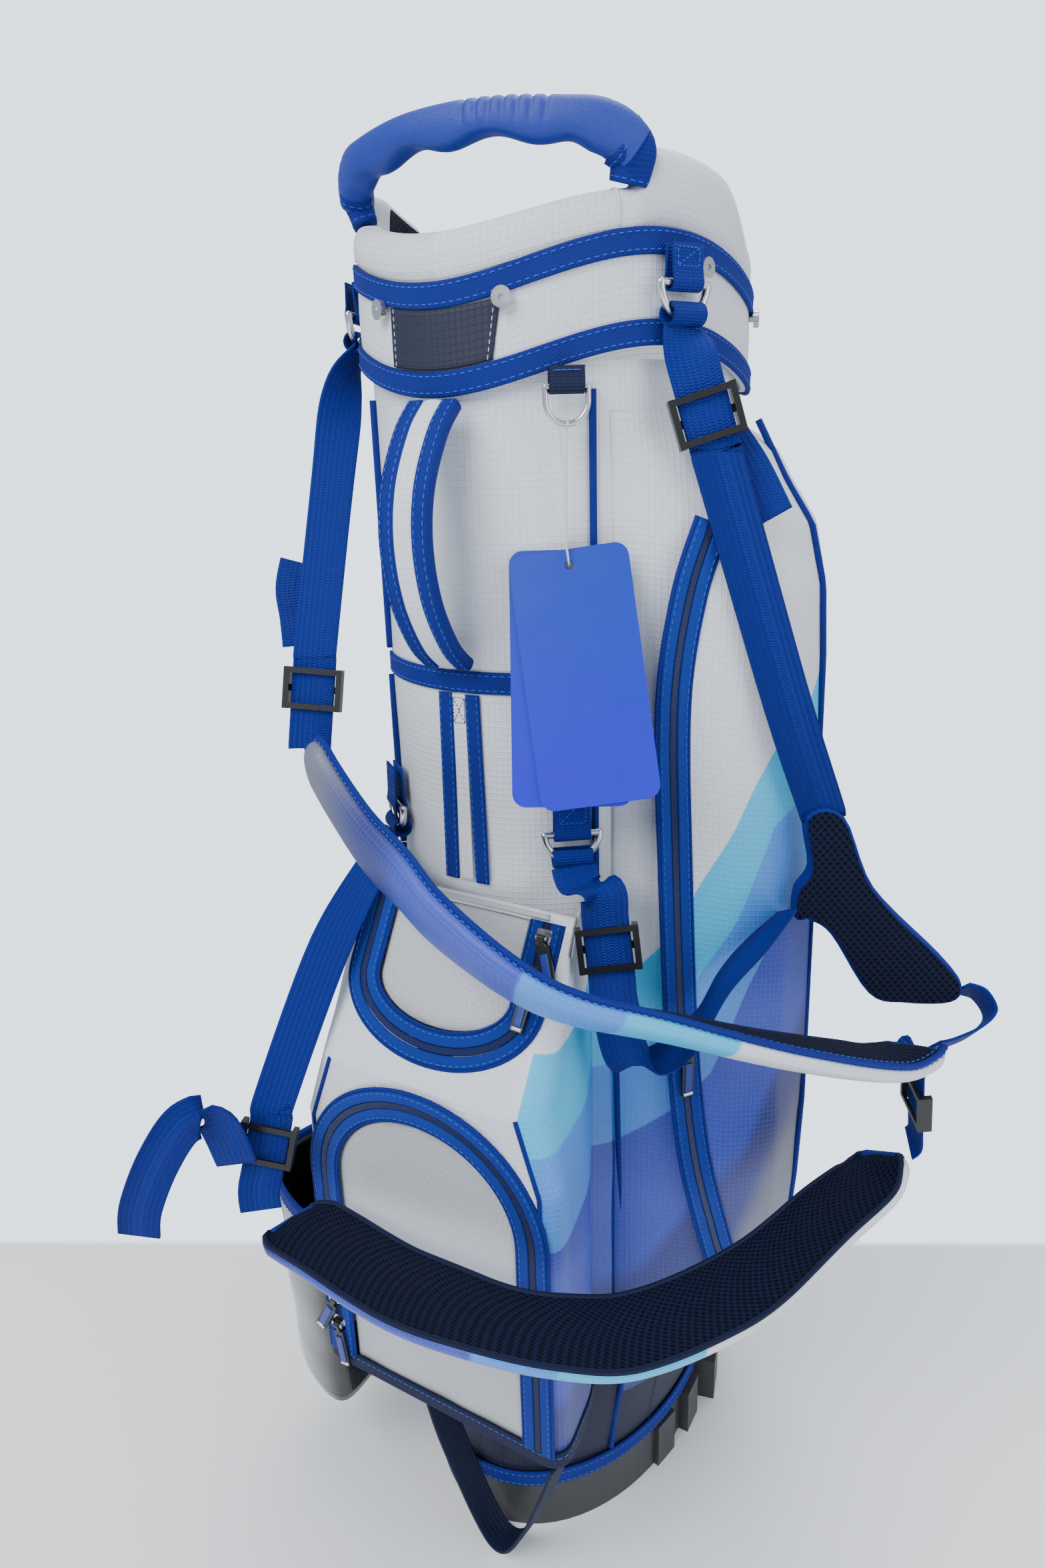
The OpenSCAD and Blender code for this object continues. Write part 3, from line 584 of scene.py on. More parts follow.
BANDS = [("cyan", CYAN, 0.6), ("sky", SKY, 0.8), ("peri", PERI, 1.0), ("indigo", INDIGO, 12.0),
         ("grey", GREY, 30.0)]
M["print"] = printed_cloth("printed_cloth", WHITE, BANDS)


def heading_back(t):
    """The heading whose oval parameter is t."""
    t = np.radians(t)
    return np.degrees(np.arctan2(AX * np.sin(t), AY * np.cos(t)))


def out_at(t):
    return out_of(heading_back(t))


def tube_cloth():
    T, Z = round_the_bag(seq(TUBE_FOOT, TUBE_TOP, 110))
    held = smooth((Z - TUBE_FOOT) / 30) * smooth((TUBE_TOP - Z) / 30)
    off = 0.2 + wrinkle(T * 1.9, Z, 0.55) * held
    outer = on_oval(T, AX + off, AY + off, Z)
    b = heading_back(T)
    b = np.where((b > -180) & (b < 42) | (b > 155), 42.0, b)
    fields = print_fields(b, Z)
    hidden = (T < 30) | (T > 160)
    fields = {k: np.where(hidden, -50.0, v) for k, v in fields.items()}
    obj = grid("tube_cloth", outer, ["print"], "white_cloth", wrap=True, fields=fields)
    inner = on_oval(T, AX - 3, AY - 3, Z)
    grid("tube_lining", inner, ["liner"], "divider_cloth", wrap=True)
    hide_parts("tube_shell")


def skirt_cloth():
    T, U = round_the_bag(seq(0, 1, 20))
    puff = 1.2 * np.sin(np.pi * U) + wrinkle(T * 2.2, U * 74, 0.4)
    p = on_oval(T, SKIRT_AX + (AX - SKIRT_AX) * U + puff, SKIRT_AY + (AY - SKIRT_AY) * U + puff,
                SKIRT_FOOT + SKIRT_RISE * U)
    thicken(grid("skirt_cloth", p, ["navy"], "navy_cloth", wrap=True, node="skirt"), 2.5)
    rise = seq(0, 1, 24)
    for k, t0 in enumerate((8, 30, 68, 110, 150, 188, 222, 262, 300, 336)):
        line = on_oval(t0, SKIRT_AX + (AX - SKIRT_AX) * rise + 1.4, SKIRT_AY + (AY - SKIRT_AY) * rise + 1.4,
                       45 + 73 * rise)
        stitches(f"skirt_seam_{k}", line, out_of(t0), "dark_thread", 3.4, 2.4, 0.3)


def tape_band(name, node, at, height=TAPE, thick=2.2):
    """A binding tape round the bag: at(t) gives its lower edge's offset and height."""
    t = seq(0, 360, 181)[:-1]
    outline = ring_profile(height / 2, thick / 2)
    off, mid, ax, ay = at(t)
    rows = []
    for x, y in outline:
        rows.append(on_oval(t, ax + off + thick / 2 + y, ay + off + thick / 2 + y, mid + x))
    p = np.stack(rows, 1)
    grid(name, p, ["royal"], "royal_tape", wrap=True, loop=True, node=node)
    tt = seq(0, 360, 361)
    off, mid, ax, ay = at(tt)
    for k, dz in enumerate((-height * 0.32, height * 0.32)):
        stitches(f"{name}_stitch_{k}", on_oval(tt, ax + off + thick, ay + off + thick, mid + dz),
                 out_at(tt))


def bindings():
    tape_band("base_binding_tape", "base_binding", lambda t: (0.4, 44 + 0 * t, BASE_AX, BASE_AY), TAPE)
    tape_band("lower_binding_tape", "collar_lower_binding", lambda t: (4.8, low_edge(t), AX, AY), TAPE)
    tape_band("upper_binding_tape", "collar_upper_binding", lambda t: (4.8, high_edge(t) - 6, AX, AY), TAPE)


def collar_cloth():
    T, U = round_the_bag(seq(0, 1, 18))
    off = 4.2 + 0.9 * np.sin(np.pi * U) + wrinkle(T * 2, U * 40, 0.25)
    z = low_edge(T) - 4 + (high_edge(T) - low_edge(T)) * U
    p = on_oval(T, AX + off, AY + off, z)
    thicken(grid("collar_cloth", p, ["white"], "white_cloth", wrap=True, node="collar"), 3)


def rim():
    t = seq(0, 360, 241)[:-1]
    z, f = rim_edge(t), high_edge(t) - 3.5
    ease = [(1.0, 0), (3.0, 2.2), (4.6, 5.5), (5.2, 10), (4.9, 15)]
    rows = []
    for off, down in ease:
        rows.append(on_oval(t, AX + off, AY + off, np.maximum(z - down, f)))
    rows.append(on_oval(t, AX + 4.4, AY + 4.4, f))
    rows.append(on_oval(t, AX - 8, AY - 8, f))
    rows.append(on_oval(t, AX - 13, AY - 13, f + 2))
    for off, down in ((-14.2, 10), (-13.4, 5), (-11, 1.6), (-7, -0.6), (-3, -0.9)):
        rows.append(on_oval(t, AX + off, AY + off, np.maximum(z - down, f + 3)))
    p = np.stack(rows, 1)
    pick = [0] * 5 + [1] * 4 + [0] * 4
    obj = grid("rim_cloth", p, ["white", "mesh"], "white_pad", wrap=True, loop=True, pick=pick)
    m = obj.modifiers.new("round", "SUBSURF")
    m.levels = m.render_levels = 1
    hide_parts("rim_pad")
    over = np.array([(-12, 3), (-8, -0.4), (-3, -0.9), (1, 0), (3.2, 2.2), (4.9, 5.5), (5.5, 10), (5.2, 16)])
    for k, t0 in enumerate((48, -48, 132, -132)):
        line = on_oval(float(t0), AX + over[:, 0], AY + over[:, 0], rim_edge(float(t0)) - over[:, 1])
        tube(f"rim_seam_{k}", line, 0.5, "pale_thread", n=3)


def collar_badge():
    t = seq(-16, 16, 25)
    u = seq(0, 1, 12)
    T, U = np.meshgrid(t, u)
    lean = np.where(T > 0, 1 + 0.16 * U, 1.0)
    z = low_edge(T) + 6.4 + (high_edge(T) - low_edge(T) - 18.6) * U
    p = on_oval(T * lean, AX + 6.1, AY + 6.1, z)
    thicken(grid("collar_badge", p, ["navy"], "navy_cloth", node="collar_patch"), 1.0)
    for k, j in enumerate((1, -2)):
        stitches(f"badge_stitch_{k}", p[:, j] + out_at(t[j]) * 0.1, out_at(t[j]),
                 "pale_thread", 3.4, 2.2, 0.22)


# ---------------------------------------------------------------- handles

HALF_GRIP = [(80, -73, 833), (74, -80, 840), (60, -89, 845), (40, -96.5, 847.5), (20, -101.5, 848.7)]
GRIP = [(-x, y, z) for x, y, z in HALF_GRIP] + [(0, -103, 849)] + HALF_GRIP[::-1]


def grab_handle():
    p = spline(GRIP, 22)
    n_rows = len(p)
    t = headings(p)
    w = square_to(np.stack([p[:, 0] / 99, p[:, 1] / 116, 0 * p[:, 0]], -1), t)
    n = np.cross(t, w)
    u = seq(0, 1, n_rows)
    span = smooth((u - 0.14) / 0.1) * smooth((0.86 - u) / 0.1)
    dip = span * 2.2 * np.cos(2 * np.pi * 4.5 * (u - 0.5))
    flat = 1 - 0.2 * span
    grooves = [0.56 + 0.03 * k for k in range(7)] + [0.07, 0.10, 0.13]
    cut = sum(np.exp(-((u - g) / 0.0055) ** 2) for g in grooves)
    rows = []
    for a in seq(0, 2 * math.pi, 41)[:-1]:
        x, y = math.cos(a), math.sin(a)
        square = 1 / (abs(x) ** 4 + abs(y) ** 4) ** 0.25
        k = 1 + (square - 1) * 0.55
        depth = 1.7 * cut * max(0.0, min(1.0, 0.75 - y * 1.2))
        low = max(0.0, y) ** 1.5
        rows.append(p + w * (x * 9.2 * k) * (1 - depth / 14)[:, None]
                    + n * ((y * 10.6 * k * flat) * (1 - depth / 14) + low * dip)[:, None])
    grid("grip_shell", np.stack(rows, 1), ["grip"], "grip", wrap=True, caps=True, node="handle_grip")
    bulge = lambda v, power: math.copysign(abs(v) ** power, v)
    for s, side in SIDES:
        outline = [(bulge(x, 0.5) * 8.6, bulge(y, 0.7) * 6.4) for x, y in circle(1, 36)]
        route = [(76.5, -77, 837), (80, -73, 832.5), (79, -71.5, 827), (77, -71, 820)]
        route = spline([(s * x, y, z) for x, y, z in route], 6)
        outline = np.array(outline) * seq(1.35, 1.0, len(route))[:, None, None]
        rows, _, _ = sweep_points(route, np.array([s * 0.62, 0.78, 0]), outline)
        grid(f"grip_sleeve_{side}", rows, ["royal"], "royal_tape", wrap=True, caps=True,
             node="handle_sleeves" if s < 0 else None)
        for k, f in enumerate((2, -3)):
            ring = np.concatenate([rows[f], rows[f][:1]])
            stitches(f"sleeve_stitch_{k}_{side}", ring, unit(ring - route[f]))
        strap = [(s * 70, -47, 790), (s * 62, -62, 788), (s * 46, -80, 786)]
        ribbon(f"grip_strap_{side}", strap, UP, 24, 1.8, "navy_webbing", "navy_cloth",
               node="handle_webbing" if s < 0 else None)


CARRY = [(0, y, z) for y, z in ((-125, 727), (-138, 714), (-151, 690), (-155, 664), (-150, 636), (-137, 612),
                                (-124, 600))]


def carry_handle():
    p = spline(CARRY, 9)
    half, thick = 14.6, 3.2
    half_xs = [(-1, 0.5), (-0.95, 1), (-0.42, 1.06), (-0.36, 0.8), (-0.15, 1.02)]
    xs = half_xs + [(0, 1.08)] + [(-x, y) for x, y in half_xs[::-1]]
    outline = [(x * half, -y * thick) for x, y in xs] + [(x * half, y * thick) for x, y in xs[::-1]]
    rows, s, n = sweep_points(p, EAST, outline)
    k = len(xs)
    pick = [0 if abs(xs[i][0] + xs[i + 1][0]) > 0.75 else 1 for i in range(k - 1)] + [0]
    pick = pick + pick[:-1][::-1] + [0]
    obj = grid("carry_grip", rows, ["royal", "white"], "white_cloth", wrap=True, caps=True, pick=pick,
               node="carry_handle")
    for i, x in enumerate((-0.86, -0.5, 0.5, 0.86)):
        for j, side in enumerate((-1, 1)):
            stitches(f"carry_stitch_{i}_{j}", p + s * x * half + n * side * thick * 1.06, n * side)


def stripe():
    z = seq(STRIPE_FOOT, STRIPE_TOP, 40)
    for k, (x0, x1) in enumerate(((-13, -4), (4, 13))):
        wide = 1 + 0.2 * (STRIPE_TOP - z) / (STRIPE_TOP - STRIPE_FOOT)
        route = np.stack([(x0 + x1) / 2 * wide, -AY - 1.2 + 0 * z + 0.04 * np.abs(x0), z], -1)
        node = None if k else "front_stripe"
        ribbon(f"stripe_band_{k}", route, EAST, 9, 1.5, "royal", "royal_tape", 1, node=node)
        for j, dx in enumerate((-3.2, 3.2)):
            stitches(f"stripe_stitch_{k}_{j}", route + np.array([dx, -0.75, 0]), FRONT)
    route = np.stack([0 * z, -AY - 0.7 + 0 * z, z], -1)
    ribbon("stripe_centre", route, EAST, 8.4, 1.0, "white", "white_cloth", n=1)
    box = [(-3.6, 566), (3.6, 566), (3.6, 580), (-3.6, 580), (-3.6, 566), (3.6, 580), (3.6, 566), (-3.6, 580)]
    line = along_corners([(x, -AY - 1.3, zz) for x, zz in box], 8)
    stitches("stripe_box_stitch", line, FRONT, "dark_thread", 2.0, 1.5, 0.2)


def front_band():
    t = seq(-42, 42, 85)
    outline = ring_profile(6, 0.9)
    p = np.stack([on_oval(t, AX + 1.3 + y, AY + 1.3 + y, BAND_Z + x) for x, y in outline], 1)
    grid("front_band_tape", p, ["royal"], "royal_tape", wrap=True, caps=True, node="mid_band")
    tt = seq(-42, 42, 169)
    for k, dz in enumerate((-4, 4)):
        stitches(f"front_band_stitch_{k}", on_oval(tt, AX + 2.2, AY + 2.2, BAND_Z + dz), out_at(tt))


def pipings():
    for s, name in SIDES:
        for k, (z0, z1) in enumerate(((476, 581), (597, 732))):
            z = seq(z0, z1, 30)
            line = on_tube(s * 37.0, 1.8, z)
            tube(f"side_piping_{name}_{k}", line, 1.9, "royal", "royal_tape", n=1)
        z = np.array([474, 440, 400, 360, 300, 250, 180, 120, 80, 52])
        b = s * np.array([37.5, 39, 41, 43, 44, 45, 45.5, 46, 46, 46.5])
        off = np.array([1.8, 1.8, 1.8, 1.8, 1.8, 1.8, 1.8, 2.2, 1.0, 1.0])
        route = on_tube(b, off, z)
        skirt = np.clip((118 - z) / 74, 0, 1)[:, None]
        foot = on_oval(param(b), 92, 133, z)
        tube(f"low_piping_{name}", route * (1 - skirt) + foot * skirt, 1.9, "royal", "royal_tape", n=5)
    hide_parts("side_piping")


def folded_tab(name, node, b, off, z_bar, z_top, width, r, mat, slot):
    """Webbing that goes up from both sides of a bar it is folded round."""
    o, a = out_of(b), along(b)
    c = on_tube(b, off, z_bar)
    loop = [(math.sin(q) * r, -math.cos(q) * r) for q in seq(-math.pi / 2, math.pi / 2, 11)]
    loop = [(-r, 1.0)] + loop + [(r, 1.0), (r * 0.75, 5), (r * 0.6, z_top - z_bar)]
    loop = [(-r * 0.6, z_top - z_bar), (-r * 0.75, 5)] + loop
    route = np.array([c + o * x + UP * y for x, y in loop])
    ribbon(name, route, a, width, 1.3, mat, slot, 2, node=node)
    face = c + o * (r * 0.65 + 0.75)
    top = z_top - z_bar - 2
    box = [(-7, 7), (7, 7), (7, top), (-7, top), (-7, 7), (7, top)]
    line = along_corners([face + a * x + UP * y for x, y in box], 10)
    stitches(name + "_stitch", line, o, "thread", 2.6, 1.8, 0.25)


def tabs():
    for s, side in SIDES:
        for row, (b, off, z), top in (("upper", UPPER_BAR, 795), ("lower", LOWER_BAR, 530)):
            node = f"{row}_d_tabs" if s < 0 else None
            folded_tab(f"{row}_tab_{side}", node, s * b, off, z, top, 20, 3.3, "webbing", "royal_tape")
    folded_tab("towel_tab", "towel_loop", *TOWEL_BAR, 742, 17, 2.9, "navy_webbing", "navy_cloth")


# ---------------------------------------------------------------- tag cord

CORD = [(60.6, -109, 713.5), (60.3, -107.8, 702.7), (60.1, -106.6, 691.9), (59.8, -105.4, 681.1),
        (59.5, -104.1, 670.3), (59.2, -102.9, 659.5), (60.5, -103.9, 654.4), (60.6, -103.5, 651.6),
        (60, -102.1, 650.3), (59.3, -100.8, 649.8), (58.5, -99.3, 650), (57.5, -98.3, 652.3),
        (56.6, -97.9, 657.7), (57.8, -99.8, 668.8), (59, -101.6, 680), (60.2, -103.5, 691.2),
        (61.4, -105.3, 702.3), (62.6, -107.2, 713.5)]


def tag_cord():
    p = spline(CORD, 6)
    curve = bpy.data.curves.new("tag_cord_line", "CURVE")
    curve.dimensions = "3D"
    curve.bevel_depth, curve.bevel_resolution = 0.0006, 3
    line = curve.splines.new("POLY")
    line.points.add(len(p) - 1)
    for point, v in zip(line.points, p * MM):
        point.co = (*v, 1)
    curve.materials.append(M["nylon"])
    obj = new_object("tag_cord_line", curve, "tag")
    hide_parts("tag_cord")
    c, o = on_tube(*TOWEL_BAR[:2], 716.3), out_of(TOWEL_B)
    loop = np.array([c + 2.1 * (o * math.cos(a) + UP * math.sin(a)) for a in seq(0, 2 * math.pi, 25)[:-1]])
    eye = tube("tag_cord_eye", loop, 0.6, "nylon", "clear_cord", 1, along(TOWEL_B), True, "tag")


# ---------------------------------------------------------------- ball pocket

POCKET_Y, POCKET_TOP, DOOR_FOOT = 178.0, 466.0, 151
# the lower zip's arch and the upper zip's tongue: half width, straight part's end and the round's height
ARCH_MID, ARCH_W, ARCH_ROUND = 292.0, 73, 67
FLAP_W, FLAP_STRAIGHT, FLAP_ROUND = 55, 52, 35
POCKET_LEVELS = np.array([(84, 122, 58, 66), (146, 178, 89, 82), (330, 178, 89, 82), (372, 175.5, 74, 80),
                          (466, 119, 72, 70)], float)
FLAP_PIVOT = np.array([0.0, -119.0, POCKET_TOP])
TILT = math.radians(31)
SLOPE = np.array([0.0, math.sin(TILT), math.cos(TILT)])
FLAP_OUT = np.array([0.0, -math.cos(TILT), math.sin(TILT)])


def bend_corner(a, b, c, r, n):
    u, v = a - b, c - b
    p = b + unit(u) * min(r, 0.45 * np.linalg.norm(u))
    q = b + unit(v) * min(r, 0.45 * np.linalg.norm(v))
    s = seq(0, 1, n)[:, None]
    return (1 - s) ** 2 * p + 2 * s * (1 - s) * b + s * s * q


def pocket_row(z, proud=0.0):
    front, w, side = (np.interp(z, POCKET_LEVELS[:, 0], POCKET_LEVELS[:, k]) for k in (1, 2, 3))
    front, w, side = front + proud, w + proud, side + proud
    a, b = np.array([-62.0, -90.0]), np.array([-side, -min(front, 130.0)])
    c, d = np.array([-w, -front]), np.array([0.0, -front])
    first, second = bend_corner(a, b, c, 10, 5), bend_corner(b, c, d, 15, 9)
    between = lambda p, q, n: p + (q - p) * seq(0, 1, n)[:, None]
    flank, middle = between(first[-1], second[0], 8)[1:-1], between(second[-1], d, 27)[1:]
    left = np.concatenate([between(a, first[0], 7)[:-1], first, flank, second, middle])
    row = np.concatenate([left, left[:-1][::-1] * [-1, 1]])
    return np.concatenate([row, np.full((len(row), 1), z)], 1)


def in_arch(x, z):
    crown = (x / ARCH_W) ** 2 + ((z - ARCH_MID) / ARCH_ROUND) ** 2 < 1
    return (np.abs(x) < ARCH_W) & ((z < ARCH_MID) | crown) & (z > DOOR_FOOT - 1)


def in_flap(x, z):
    v = (POCKET_TOP - z) / math.cos(TILT)
    tongue = (x / FLAP_W) ** 2 + ((v - FLAP_STRAIGHT) / FLAP_ROUND) ** 2 < 1
    return (np.abs(x) < FLAP_W) & (v > 5) & ((v < FLAP_STRAIGHT) | tongue)


def ball_pocket():
    z = np.concatenate([seq(146, 330, 66), seq(330, 372, 16)[1:], seq(372, 466, 36)[1:]])
    p = np.array([pocket_row(v, -1.3) for v in z])
    soft = wrinkle(p[..., 0] * 1.6, p[..., 2] * 1.2, 0.7)
    p[..., 1] -= np.where(p[..., 1] < -140, soft * 0.6, 0)
    mid = (p[:-1, :-1] + p[1:, 1:]) / 2
    hole = in_arch(mid[..., 0], mid[..., 2]) | in_flap(mid[..., 0], mid[..., 2])
    heading = np.degrees(np.arctan2(p[..., 0], -p[..., 1]))
    fields = print_fields(np.maximum(heading + 14, 40), p[..., 2])
    panel = np.broadcast_to(np.arange(p.shape[1]) >= p.shape[1] - 24, p.shape[:2])
    fields = {k: np.where(panel, v, -50.0) for k, v in fields.items()}
    cloth = grid("pocket_cloth", p, ["print"], "printed_cloth", keep=~hole, fields=fields, node="ball_pocket")
    thicken(cloth, 1.6)
    z = seq(84, 147, 16)
    low = np.array([pocket_row(v) for v in z])
    thicken(grid("pocket_floor", low, ["navy"], "navy_cloth"), 1.6)
    ribbon("pocket_hem", pocket_row(148, 0.8), UP, 11, 1.8, "navy_webbing", "navy_cloth", n=1)
    stitches("pocket_hem_stitch", pocket_row(151, 1.8), FRONT, "thread")
    edge = pocket_row(464, 0.6)[26:-26]
    tube("pocket_piping", edge, 1.8, "silver", "printed_cloth", n=1)
    for s, side in SIDES:
        line = np.array([pocket_row(v, 0.4)[24 if s < 0 else -25] for v in seq(150, 372, 60)])
        tube(f"pocket_corner_piping_{side}", line, 1.3, "royal", "royal_tape", n=1)


def on_door(x, z, h):
    return np.stack(np.broadcast_arrays(x, -POCKET_Y - h, z), -1)


def on_flap(x, v, h):
    x, v, h = np.broadcast_arrays(np.asarray(x, float), v, h)
    return FLAP_PIVOT + x[..., None] * EAST - v[..., None] * SLOPE + h[..., None] * FLAP_OUT


def rounded(rise, straight, w, top):
    """Half widths of a panel w wide up to straight, with a round end as high as top."""
    return np.where(rise <= straight, w, w * np.sqrt(np.maximum(0, 1 - ((rise - straight) / top) ** 2)))


def heights(foot, straight, n, top, round_n):
    """Rows of such a panel: even up to straight, closer towards the top of the round end."""
    return np.concatenate([seq(foot, straight, n), straight + top * np.sin(seq(0, math.pi / 2, round_n)[1:-1])])


def lower_door():
    rise = heights(DOOR_FOOT, ARCH_MID, 50, 55.5, 26)
    w = rounded(rise, ARCH_MID, 61.5, 55.5)
    u = seq(-1, 1, 43)
    x, z = w[:, None] * u[None], np.broadcast_to(rise[:, None], (len(rise), 43))
    puff = 0.2 + 1.4 * (1 - (x / 64) ** 2) * smooth((z - 150) / 40) + wrinkle(x * 2, z * 1.3, 0.5)
    p, name = on_door(x, z, puff - 1.2), "lower_door"
    thicken(grid("door_cloth", p, ["silver"], "printed_cloth", body=name, node=name), 1.2)


def upper_flap():
    v = heights(6, FLAP_STRAIGHT, 22, 23.5, 16)
    w = rounded(v, FLAP_STRAIGHT, 43.5, 23.5)
    u = seq(-1, 1, 33)
    x, vv = w[:, None] * u[None], np.broadcast_to(v[:, None], (len(v), 33))
    puff = 1.0 * (1 - (x / 46) ** 2) + wrinkle(x * 2, vv * 2, 0.4)
    p, name = on_flap(x, vv, puff - 1.4), "upper_flap"
    thicken(grid("flap_cloth", p, ["silver"], "printed_cloth", body=name, node=name), 1.2)


# ---------------------------------------------------------------- zips


def zip_track(name, p, out):
    """Tape, two lips, a coil, an outer piping and stitches along a centreline."""
    t = headings(p)
    out = np.broadcast_to(out, p.shape)
    s = unit(np.cross(t, out))
    ribbon(f"{name}_tape", p, s, 20.6, 1.2, "royal", "zip_tape", 1, node=name)
    ribbon(f"{name}_coil", p + out * 1.2, s, 4.2, 1.4, "coil", "zip_tape", n=1)
    for k, side in enumerate((-1, 1)):
        ribbon(f"{name}_lip_{k}", p + out * 1.4 + s * side * 5.6, s, 6.6, 1.9, "lip", "zip_tape", n=1)
        stitches(f"{name}_stitch_{k}", p + out * 2.4 + s * side * 7.6, out)
        edge = p + out * 0.9 + s * side * 9.8
        tube(f"{name}_piping_{k}", edge, 1.1, "royal", "zip_tape", 1, (0.6, 0.1, 0.79))


ZIP_HEADINGS = [(196, 71), (240, 66), (300, 61), (379, 58), (483, 56), (574, 55), (631, 58), (668, 64)]
REACH = ([42, 57, 70, 84, 95, 107, 120, 135, 150], [0, 20, 40, 55, 60, 58, 50, 32, 8])
FULL = ([95, 130, 175, 240, 300, 470, 590, 630, 662, 685, 719],
        [.35, .72, .92, 1, 1.03, 1, .97, .93, .8, .55, .25])


def on_pocket(b, z, off=0.0):
    return on_tube(b, np.interp(b, *REACH) * np.interp(z, *FULL) + off, z)


def zips():
    a = np.radians(seq(180, 0, 40))
    up, down = seq(DOOR_FOOT, ARCH_MID, 36), seq(ARCH_MID, DOOR_FOOT, 36)
    x = np.concatenate([0 * up - ARCH_W, ARCH_W * np.cos(a)[1:-1], 0 * down + ARCH_W])
    z = np.concatenate([up, ARCH_MID + ARCH_ROUND * np.sin(a)[1:-1], down])
    zip_track("lower_zip", on_door(x, z, -0.2), FRONT)
    a = np.radians(seq(180, 360, 40))
    v = seq(5, FLAP_STRAIGHT, 14)
    x = np.concatenate([0 * v - FLAP_W, FLAP_W * np.cos(a)[1:-1], 0 * v + FLAP_W])
    v = np.concatenate([v, FLAP_STRAIGHT - FLAP_ROUND * np.sin(a)[1:-1], v[::-1]])
    zip_track("upper_zip", on_flap(x, v, -0.2), FLAP_OUT)
    p = spline([on_pocket(b, z, 4.0) for z, b in ZIP_HEADINGS], 9)
    zip_track("garment_zip", p, np.array([0.8, -0.6, 0.0]))


# ---------------------------------------------------------------- side pockets


def garment_pocket():
    z = np.concatenate([seq(95, 175, 22), seq(175, 630, 110)[1:], seq(630, 722, 26)[1:]])
    b = seq(42, 150, 78)
    B, Z = np.meshgrid(b, z)
    p = on_pocket(B, Z, wrinkle(B * 2.2, Z * 0.8, 1.1) * smooth((B - 42) / 14))
    close = smooth((Z - 700) / 22)[..., None] + smooth((108 - Z) / 14)[..., None]
    p = p * (1 - np.minimum(close, 1)) + on_tube(B, 0.8, Z) * np.minimum(close, 1)
    fields = print_fields(B, Z)
    thicken(grid("garment_cloth", p, ["print"], "printed_cloth", fields=fields, node="garment_pocket"), 1.4)
    z = seq(100, 716, 90)
    edge = on_pocket(np.interp(z, [100, 716], [98, 95]), z, 0.8)
    tube("garment_piping", edge, 1.9, "royal", "royal_tape", n=1)
    stitches("garment_rear_stitch", on_pocket(148.0, z, 0.6), out_of(148.0), "dark_thread")


SIDE_OUTLINE = [(-91, -170), (-138, -156), (-163, -128), (-156, -86), (-120, -50), (-96, -46), (-84.5, -67),
                (-70, -93), (-85, -128)]


def closed_spline(p, n):
    p = np.asarray(p, float)
    return spline(np.concatenate([p[-2:], p, p[:2]]), n)[2 * n:-n - 1][:len(p) * n]


def side_pocket():
    loop = closed_spline([(*q, 0) for q in SIDE_OUTLINE], 8)
    middle = loop.mean(0)
    rows = []
    for z in np.concatenate([seq(86, 112, 8), seq(112, 236, 22)[1:]]):
        k = 0.955 + 0.035 * smooth((z - 86) / 30) + 0.012 * math.sin(z * 0.09)
        ripple = wrinkle(np.arange(len(loop)) * 9.0, z * 2.0, 0.008)[:, None]
        rows.append(middle + (loop - middle) * (k + ripple) + [0, 0, z])
    rows = np.array(rows)
    cloth = grid("side_pocket_cloth", rows, ["black"], "black_coated_cloth", wrap=True, node="side_pocket")
    thicken(cloth, 2.2)
    floor = np.array([middle + (loop - middle) * k * 0.955 + [0, 0, 86.6] for k in seq(0.04, 1, 8)])
    thicken(grid("side_pocket_floor", floor, ["black"], "black_coated_cloth", wrap=True), 1.6)
    top = rows[-1]
    ribbon_rows, _, _ = sweep_points(np.concatenate([top, top[:1]]), UP, ring_profile(5.5, 1.9))
    grid("side_pocket_binding", ribbon_rows[:-1], ["royal"], "royal_tape", wrap=True, loop=True)
    out = unit(top - top.mean(0))
    stitches("side_pocket_stitch", np.concatenate([top + out * 2.4, (top + out * 2.4)[:1]]) - [0, 0, 3],
             np.concatenate([out, out[:1]]))


def drag_loop():
    route = [(-14, -160, 130), (-10, -156, 100), (-2, -150, 60), (8, -146, 26), (20, -146, 9), (34, -149, 16),
             (50, -154, 48), (66, -158, 92), (77, -160, 126)]
    across = np.array([0.15, 0.98, 0.05])
    ribbon("drag_loop_webbing", route, across, 20, 2.2, "navy_webbing", "navy_cloth", 9, node="drag_loop")


# ---------------------------------------------------------------- harness

STRAP_A = [(-94, -132, 538), (-71, -141, 519), (-37, -157, 502), (-2, -172, 492), (25, -180, 479),
           (69, -185, 462), (97, -175, 449), (133, -143, 432), (179, -96, 405), (216, -41, 378), (232, -14, 374)]
STRAP_B = [(216, 6, 283), (212, -10, 274), (197, -40, 266), (176, -92, 258), (156, -137, 260),
           (130, -180, 267), (102, -212, 282), (65, -227, 289), (14, -226, 285), (-36, -219, 283),
           (-70, -214, 281)]


